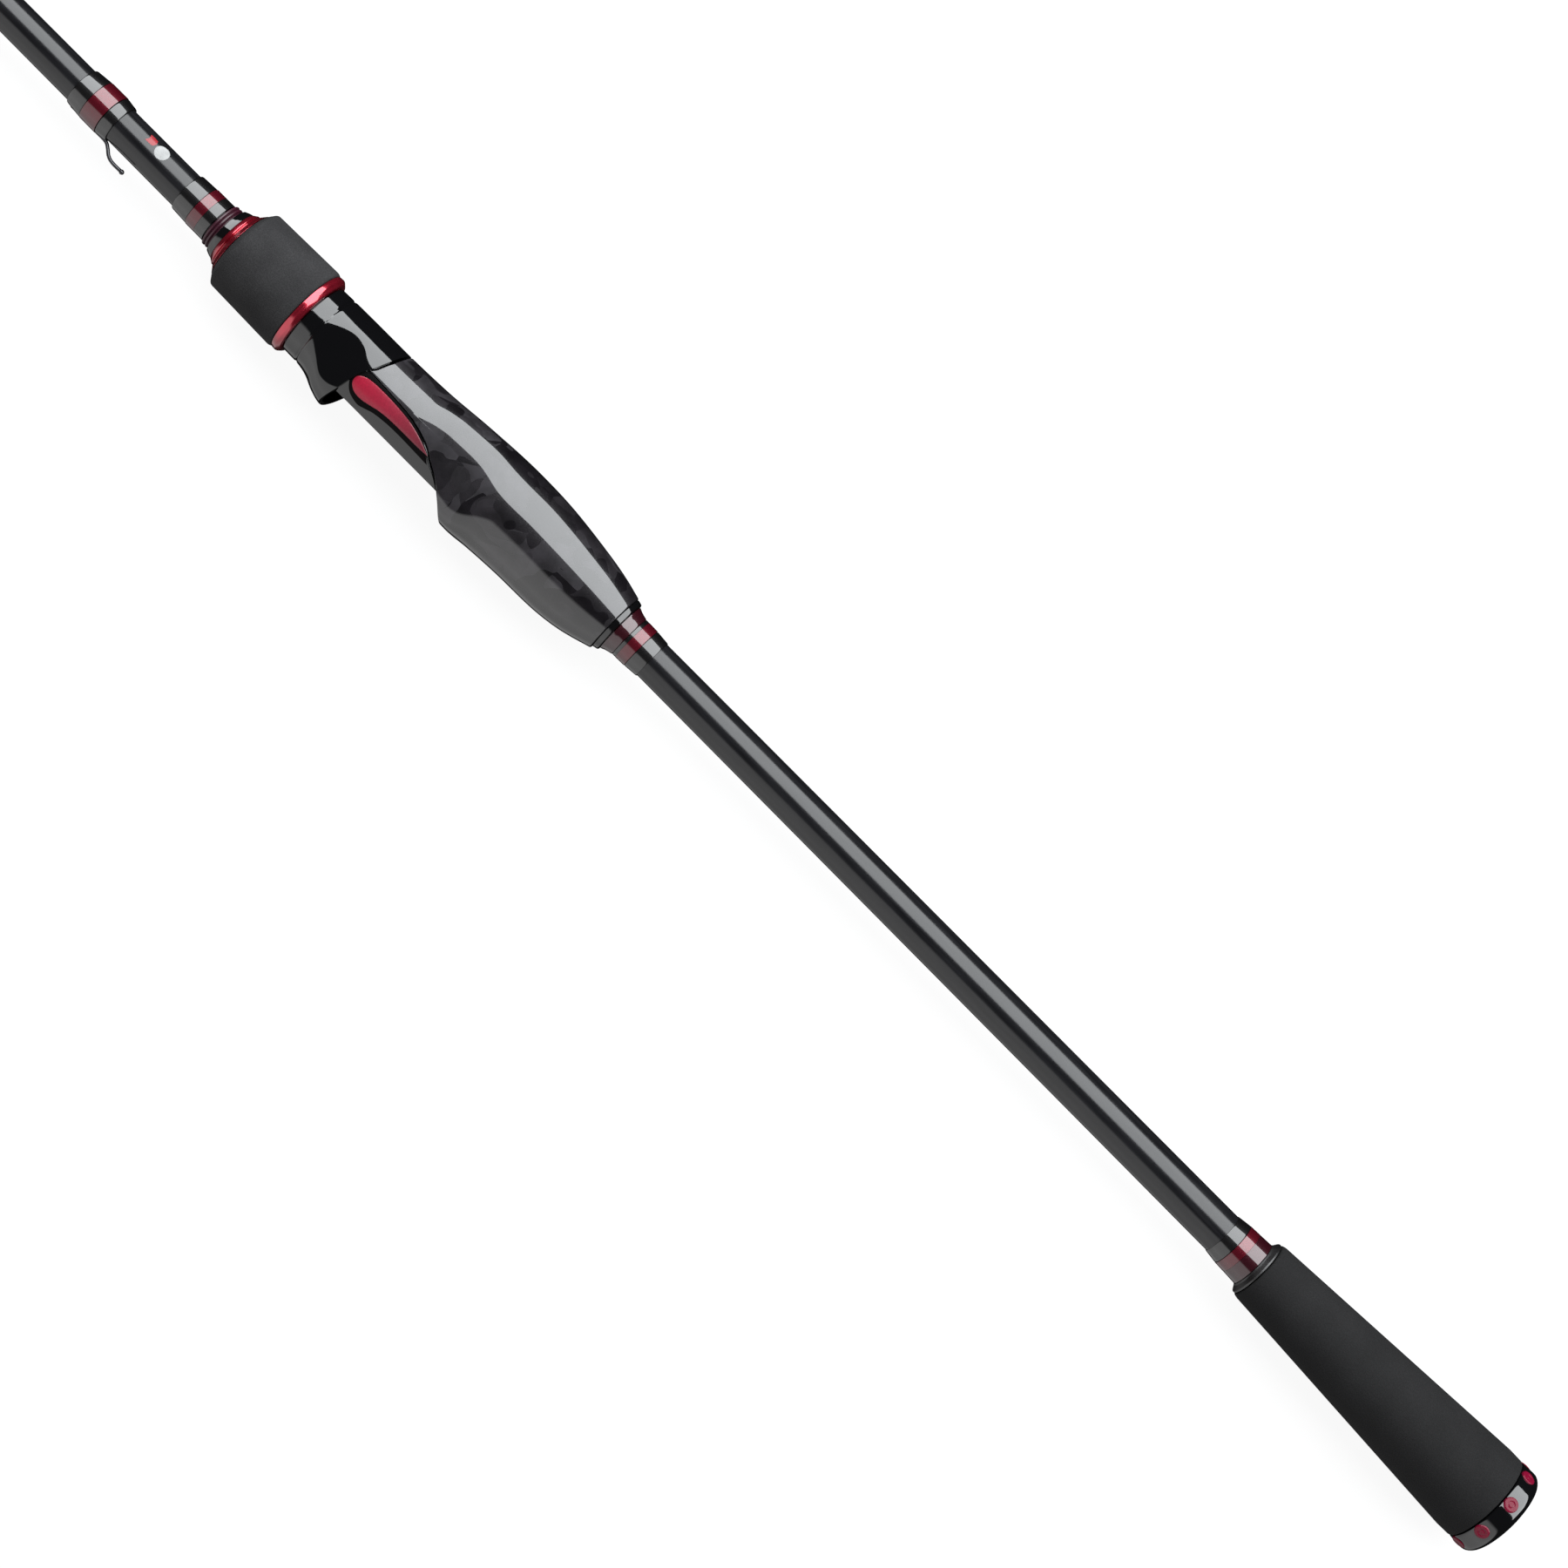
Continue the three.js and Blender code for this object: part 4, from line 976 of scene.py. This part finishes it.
def build_keeper():
    front, back, _ = span("hook_keeper")
    ball_x = back - 0.8
    wire = [(-118, -5.95, 0), (-114.3, -6.05, 0), (-112.6, -6.9, 0), (-110.8, -8.3, 0),
            (-108.8, KEEPER_REACH, 0), (ball_x, KEEPER_REACH, 0)]
    ball = [(ball_x - 0.8, 0), (ball_x - 0.65, 0.5), (ball_x, 0.8), (ball_x + 0.65, 0.5), (ball_x + 0.8, 0)]
    head = shifted(revolve(rounded(ball, 0.4, closed=False), 20, closed=False), 0, KEEPER_REACH)
    foot_line = [(front + 0.5, KEEPER_FOOT, 0), (front + 8, KEEPER_FOOT, 0), (-114.2, KEEPER_FOOT, 0)]
    foot = tube(foot_line, 0.42, squash=1.7)
    body = joined(tube(curve_through(wire), KEEPER_RADIUS), head, foot)
    add_piece("hook_keeper_wire", body, PLATED, BUTT, ["hook_keeper"])


def printed_mark(x, angle, outline, thickness=0.04):
    """A thin print that lies on the blank: an outline of (along, around) points about its centre."""
    points = []
    count = len(outline)
    for lift in (0.0, thickness):
        for share in (1.0, 0.5):
            for along, around in outline:
                radius = BLANK_RADIUS(x + along * share) + lift
                turn = angle + around * share / radius
                points.append((x + along * share, radius * sin(turn), radius * cos(turn)))
        radius = BLANK_RADIUS(x) + lift
        points.append((x, radius * sin(angle), radius * cos(angle)))
    block = 2 * count + 1
    faces = []
    for base in (0, block):
        for j in range(count):
            after = (j + 1) % count
            faces.append((base + j, base + after, base + count + after, base + count + j))
            faces.append((base + count + j, base + count + after, base + 2 * count))
    faces += [(j, (j + 1) % count, block + (j + 1) % count, block + j) for j in range(count)]
    return points, faces


# Each mark's place: x, and the angle round the blank from the near side towards the top.
DISC_PLACE = (-99.9, radians(29))
DISC_RADIUS = 2.2
DASH_PLACE = (-104.0, radians(35))
DASH_OUTLINE = [
    (-1.7, -1.3), (-0.4, -1.3), (0.9, -1.2), (1.4, 0), (0.9, 1.2), (-0.4, 1.3), (-1.7, 1.3), (-1.2, 0),
]


def build_marks():
    turns = np.linspace(0, 2 * pi, 28, endpoint=False)
    disc = [(DISC_RADIUS * cos(a), DISC_RADIUS * sin(a)) for a in turns]
    add_piece("printed_dot", printed_mark(*DISC_PLACE, disc), PALE_PRINT, BUTT)
    add_piece("printed_dash", printed_mark(*DASH_PLACE, DASH_OUTLINE), RED_PRINT, BUTT)


# ---------------- line guides

GUIDE_LEAN = radians(14)
FRAME_GAP = 0.03        # between a frame and the liner inside it


LEG_SPREAD = radians(58)       # where the legs leave the ring, from its low point


def growing(base, share):
    """A size that grows with a ring's clear radius."""
    def size(bore):
        return base + share * bore

    return size


WIRE_RADIUS = growing(0.4, 0.06)
BAND_HALF_LENGTH = growing(0.4, 0.04)
LINER_HALF_LENGTH = growing(0.5, 0.06)
FOOT_THICKNESS = growing(0.5, 0.04)
FOOT_WIDTH = growing(1.6, 0.12)


def leaning(lean, ring_x, height):
    """A move that leans a ring towards the tip and hangs it at its place."""
    def move(p):
        return Vector((p.x * cos(lean) + p.y * sin(lean) + ring_x,
                       -p.x * sin(lean) + p.y * cos(lean) - height, p.z))

    return move


def leg_path(start, bend, end, hip_shift):
    """A cubic curve from the ring to the foot, pushed out at the hip."""
    hip = start.lerp(bend, 0.5) + hip_shift
    return [start * (1 - t) ** 3 + hip * 3 * t * (1 - t) ** 2 + bend * 3 * t**2 * (1 - t) + end * t**3
            for t in np.linspace(0, 1, 15)]


def guide_frame_body(to_ring, insert, frame_radius, half, wire, feet):
    """The ring's band, two legs to each foot and the feet themselves."""
    band = [(-half, insert), (-half, frame_radius), (half, frame_radius), (half, insert)]
    bodies = [placed(revolve(rounded(band, 0.35 * half), SLIM), to_ring)]
    reach = (insert + frame_radius) / 2
    toe = 1.5
    for foot_x, foot_end, surface, thickness, width in feet:
        away = 1 if foot_end > foot_x else -1
        y = -surface - wire
        for side in (-1, 1):
            start = to_ring(Vector((0, reach * cos(LEG_SPREAD), side * reach * sin(LEG_SPREAD))))
            end = Vector((foot_x + away * toe, y, side * 0.3 * wire))
            bend = Vector((foot_x - away * toe, y, side * 1.5 * wire))
            bodies.append(tube(leg_path(start, bend, end, Vector((0, 0, side * wire))), wire, 14))
        bodies.append(foot_plate(foot_x, foot_end, surface, thickness, width))
    return joined(*bodies)


def foot_plate(x0, x1, surface, thickness, width):
    """A foot that thins and narrows towards its end, curved round the blank."""
    rows, across = 14, 9
    points = []
    for layer in (0, 1):
        for i in range(rows):
            u = i / (rows - 1)
            half = width / 2 * (1 - 0.45 * u**2)
            rise = thickness * (1 - 0.75 * u)
            for j in range(across):
                z = half * (2 * j / (across - 1) - 1)
                drop = sqrt(max(surface**2 - z**2, 0.1))
                crown = 1 - 0.35 * (2 * j / (across - 1) - 1) ** 4
                points.append((x0 + (x1 - x0) * u, -drop - layer * rise * crown, z))
    block = rows * across
    faces = grid_faces(rows, across, False, False)
    faces += [tuple(block + k for k in reversed(face)) for face in grid_faces(rows, across, False, False)]
    rim = list(range(across))
    rim += [i * across + across - 1 for i in range(1, rows)]
    rim += [(rows - 1) * across + j for j in range(across - 2, -1, -1)]
    rim += [i * across for i in range(rows - 2, 0, -1)]
    faces += [(a, b, block + b, block + a) for a, b in zip(rim, rim[1:] + rim[:1])]
    return points, faces


def ceramic_ring(node, to_ring, bore):
    """A ring's ceramic liner, with both its edges eased."""
    low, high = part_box(node)
    outer = (high.z - low.z) / 2 / MM
    half = LINER_HALF_LENGTH(bore)
    edge = min(0.45, (outer - bore) / 3)
    outline = [(-half, bore + edge), (0, bore), (half, bore + edge), (half, outer - edge), (0, outer),
               (-half, outer - edge)]
    return placed(revolve(rounded(outline, (outer - bore) / 2.4), SLIM), to_ring)


def wrap_over_foot(x0, x1, cover):
    """Thread over a foot: round under the blank, raised over the foot, fading at both ends."""
    rows = 18
    outer, inner = [], []
    for i in range(rows):
        u = i / (rows - 1)
        x = x0 + (x1 - x0) * u
        blank = BLANK_RADIUS(x)
        ends = min(step_between(0, 0.12, u), step_between(0, 0.12, 1 - u))
        for angle in full_turn(SLIM):
            over_foot = 1 - step_between(28, 75, abs(degrees(angle) - 180))
            radius = blank + 0.12 + ends * (0.3 + (cover - blank - 0.42) * over_foot)
            outer.append(around(x, radius, angle))
            inner.append(around(x, blank + 0.02, angle))
    lining = []
    for i in reversed(range(rows)):
        lining += inner[i * SLIM:(i + 1) * SLIM]
    return outer + lining, grid_faces(2 * rows, SLIM, True, True)


def ring_place(node):
    """Where a ring's centre is, as x and its height below the axis, and the ring's outer radius."""
    low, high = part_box(node)
    height = (AXIS.y - (low.y + high.y) / 2) / MM
    return (low.x + high.x) / 2 / MM, height, (high.z - low.z) / 2 / MM


def build_guide(name, body, wraps):
    """One guide, with its shape worked out from its CAD ring and frame."""
    ring_x, height, insert = ring_place(name + "_ring")
    frame_radius = ring_place(name + "_frame")[2]
    bore = insert - (frame_radius - insert) * (1.6 if insert > 7 else 1.1)
    feet = []
    for wrap in wraps:
        wrap_front, wrap_back, cover = span(wrap)
        ahead = wrap_front > ring_x
        foot_x = wrap_front - 2 if ahead else wrap_back + 2
        foot_end = wrap_back - 3 if ahead else wrap_front + 3
        feet.append((foot_x, foot_end, BLANK_RADIUS(foot_x) + 0.1, FOOT_THICKNESS(bore), FOOT_WIDTH(bore)))
        thread = wrap_over_foot(wrap_front, wrap_back, cover)
        add_piece(wrap + "_thread", thread, BLACK_THREAD, body, [wrap])
    to_ring = leaning(GUIDE_LEAN, ring_x, height)
    frame_body = guide_frame_body(to_ring, insert + FRAME_GAP, frame_radius, BAND_HALF_LENGTH(bore),
                                  WIRE_RADIUS(bore), feet)
    add_piece(name + "_wire_frame", frame_body, PLATED, body, [name + "_frame"])
    liner = ceramic_ring(name + "_ring", to_ring, bore)
    add_piece(name + "_liner", liner, CERAMIC, body, [name + "_ring"])


def build_guides():
    build_guide("stripper_guide", BUTT, ["stripper_guide_rear_wrap", "stripper_guide_front_wrap"])
    for i in range(2, 8):
        build_guide(f"guide_{i}", TIP, [f"guide_{i}_wrap"])


TIP_TUBE_RADIUS = 1.8
TIP_LEG_Y = 3.4 * cos(1.0)     # where the legs leave the ring, from its centre
TIP_LEG_Z = 3.4 * sin(1.0)


def build_tip_top():
    """The last ring, on a tube that slips over the blank's end."""
    ring_x, height, insert = ring_place("tip_top_ring")
    front, back, frame_radius = span("tip_top_frame")
    floor = front + 4
    outline = [(front + 1.6, 0), (front + 2.2, TIP_TUBE_RADIUS * 0.8), (front + 3.4, TIP_TUBE_RADIUS),
               (back, TIP_TUBE_RADIUS), (back, 1.25), (floor, 1.2), (floor, 0)]
    sleeve = revolve(rounded(outline, 0.25, closed=False), SLIM, closed=False)
    bore, half = insert + FRAME_GAP, 0.45
    band = [(-half, bore), (-half, frame_radius), (half, frame_radius), (half, bore)]
    ring = shifted(revolve(rounded(band, 0.15), SLIM), ring_x, -height)
    legs = []
    for side in (-1, 1):
        start = Vector((ring_x, -height + TIP_LEG_Y, side * TIP_LEG_Z))
        knee = Vector((front + 6, -TIP_TUBE_RADIUS - 0.6, side * 1.4))
        end = Vector((back - 4, -TIP_TUBE_RADIUS - 0.1, side * 0.3))
        legs.append(tube(curve_through([start, knee, end], 8), 0.42, 12))
    add_piece("tip_top_body", joined(sleeve, ring, *legs), PLATED, TIP, ["tip_top_frame"])
    liner = ceramic_ring("tip_top_ring", leaning(0, ring_x, height), insert - 0.9)
    add_piece("tip_top_liner", liner, CERAMIC, TIP, ["tip_top_ring"])


# ---------------- stage

FLOOR_REACH = 14.0
FLOOR_GLOW = 0.92


def build_stage():
    """A pale floor at the rod's lowest point, which is kept out of the rod's reflections."""
    floor_z = cad_box[0][2]
    corners = [(x * FLOOR_REACH, y * FLOOR_REACH, floor_z) for x, y in ((-1, -1), (1, -1), (1, 1), (-1, 1))]
    mesh = bpy.data.meshes.new("floor")
    mesh.from_pydata(corners, [], [(0, 1, 2, 3)])
    pale = new_material("floor_pale", "gloss_black", grey(0.05), 0.9, specular=0.0)
    shader = pale.node_tree.nodes["Principled BSDF"]
    shader.inputs["Emission Color"].default_value = (1, 1, 1, 1)
    shader.inputs["Emission Strength"].default_value = FLOOR_GLOW
    mesh.materials.append(pale)
    floor = bpy.data.objects.new("floor", mesh)
    bpy.context.scene.collection.objects.link(floor)
    floor.visible_glossy = False


# The key light: a long softbox beside the rod, in metres and watts. It spans two tilts, measured from
# straight up towards +Y.
KEY_TILTS = (radians(14), radians(76))
KEY_DISTANCE = 1.25
KEY_LENGTH = 5.0
KEY_POWER = 178
KEY_COLOR = (0.95, 0.98, 1.0)


def build_key_light():
    ends = [Vector((0, KEY_DISTANCE * sin(tilt), KEY_DISTANCE * cos(tilt))) for tilt in KEY_TILTS]
    light = bpy.data.lights.new("key", "AREA")
    light.shape = "RECTANGLE"
    light.size = KEY_LENGTH
    light.size_y = (ends[1] - ends[0]).length
    light.energy = KEY_POWER
    light.color = KEY_COLOR
    lamp = bpy.data.objects.new("key", light)
    middle = (ends[0] + ends[1]) / 2
    along = Vector((1, 0, 0))
    lamp.location = middle + CAMERA_X * along
    facing = along.cross((ends[1] - ends[0]).normalized())
    if facing.dot(middle) < 0:
        facing = -facing
    lamp.rotation_euler = Matrix((along, facing.cross(along), facing)).transposed().to_euler()
    bpy.context.scene.collection.objects.link(lamp)


# Grey levels of the surroundings along one component of the direction, as (component, level).
LEVELS_ACROSS = [(-1.0, 1.75), (-0.56, 1.75), (-0.46, 0.05), (0.2, 0.02), (1.0, 0.02)]
LEVELS_UP = [(-1.0, 0.3), (-0.5, 0.45), (0.1, 1.0), (1.0, 1.0)]


def build_world():
    """Dim, even surroundings: a grey room on the reel side, dark overhead and behind the key light."""
    world = bpy.data.worlds.new("studio")
    world.use_nodes = True
    tree = world.node_tree
    place = tree.nodes.new("ShaderNodeTexCoord")
    split = tree.nodes.new("ShaderNodeSeparateXYZ")
    tree.links.new(place.outputs["Generated"], split.inputs["Vector"])
    across = level_ramp(tree, split.outputs["Y"], LEVELS_ACROSS)
    upright = level_ramp(tree, split.outputs["Z"], LEVELS_UP)
    mix = tree.nodes.new("ShaderNodeMix")
    mix.data_type = "RGBA"
    mix.blend_type = "MULTIPLY"
    mix.inputs[0].default_value = 1.0
    tree.links.new(across, mix.inputs[6])
    tree.links.new(upright, mix.inputs[7])
    tree.links.new(mix.outputs[2], tree.nodes["Background"].inputs["Color"])
    bpy.context.scene.world = world


def level_ramp(tree, component, levels):
    """Grey levels along a component, whose range of -1 to 1 is brought to the ramp's 0 to 1."""
    half = map_range(tree, component, -1.0, 1.0, 0.0, 1.0)
    return color_ramp(tree, half, [((place + 1) / 2, grey(level)) for place, level in levels])


CAMERA_X = 0.1411
CAMERA_HEIGHT = 0.968
CAMERA_SIDE = 0.00165
CAMERA_ROLL = radians(45.18)
LENS = 81.3


def build_camera():
    """Looks straight down on the rod, which runs across the picture from corner to corner."""
    data = bpy.data.cameras.new("camera")
    data.lens = LENS
    data.sensor_width = 36
    camera = bpy.data.objects.new("camera", data)
    camera.location = (CAMERA_X, AXIS.y + CAMERA_SIDE, AXIS.z + CAMERA_HEIGHT)
    camera.rotation_euler = (0, 0, CAMERA_ROLL)
    bpy.context.scene.collection.objects.link(camera)
    bpy.context.scene.camera = camera


build_camera()
build_world()
build_key_light()
build_stage()
build_blank()
build_butt()
build_wraps()
build_seat()
build_hood()
build_foregrip()
build_grip_rings()
build_keeper()
build_marks()
build_guides()
build_tip_top()
for node, material in (("locking_nut", NUT_BLACK), ("arbor_front", ARBOR_FOAM), ("arbor_rear", ARBOR_FOAM)):
    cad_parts[node].data.materials.clear()
    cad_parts[node].data.materials.append(material)

bpy.context.scene.view_settings.view_transform = "Standard"
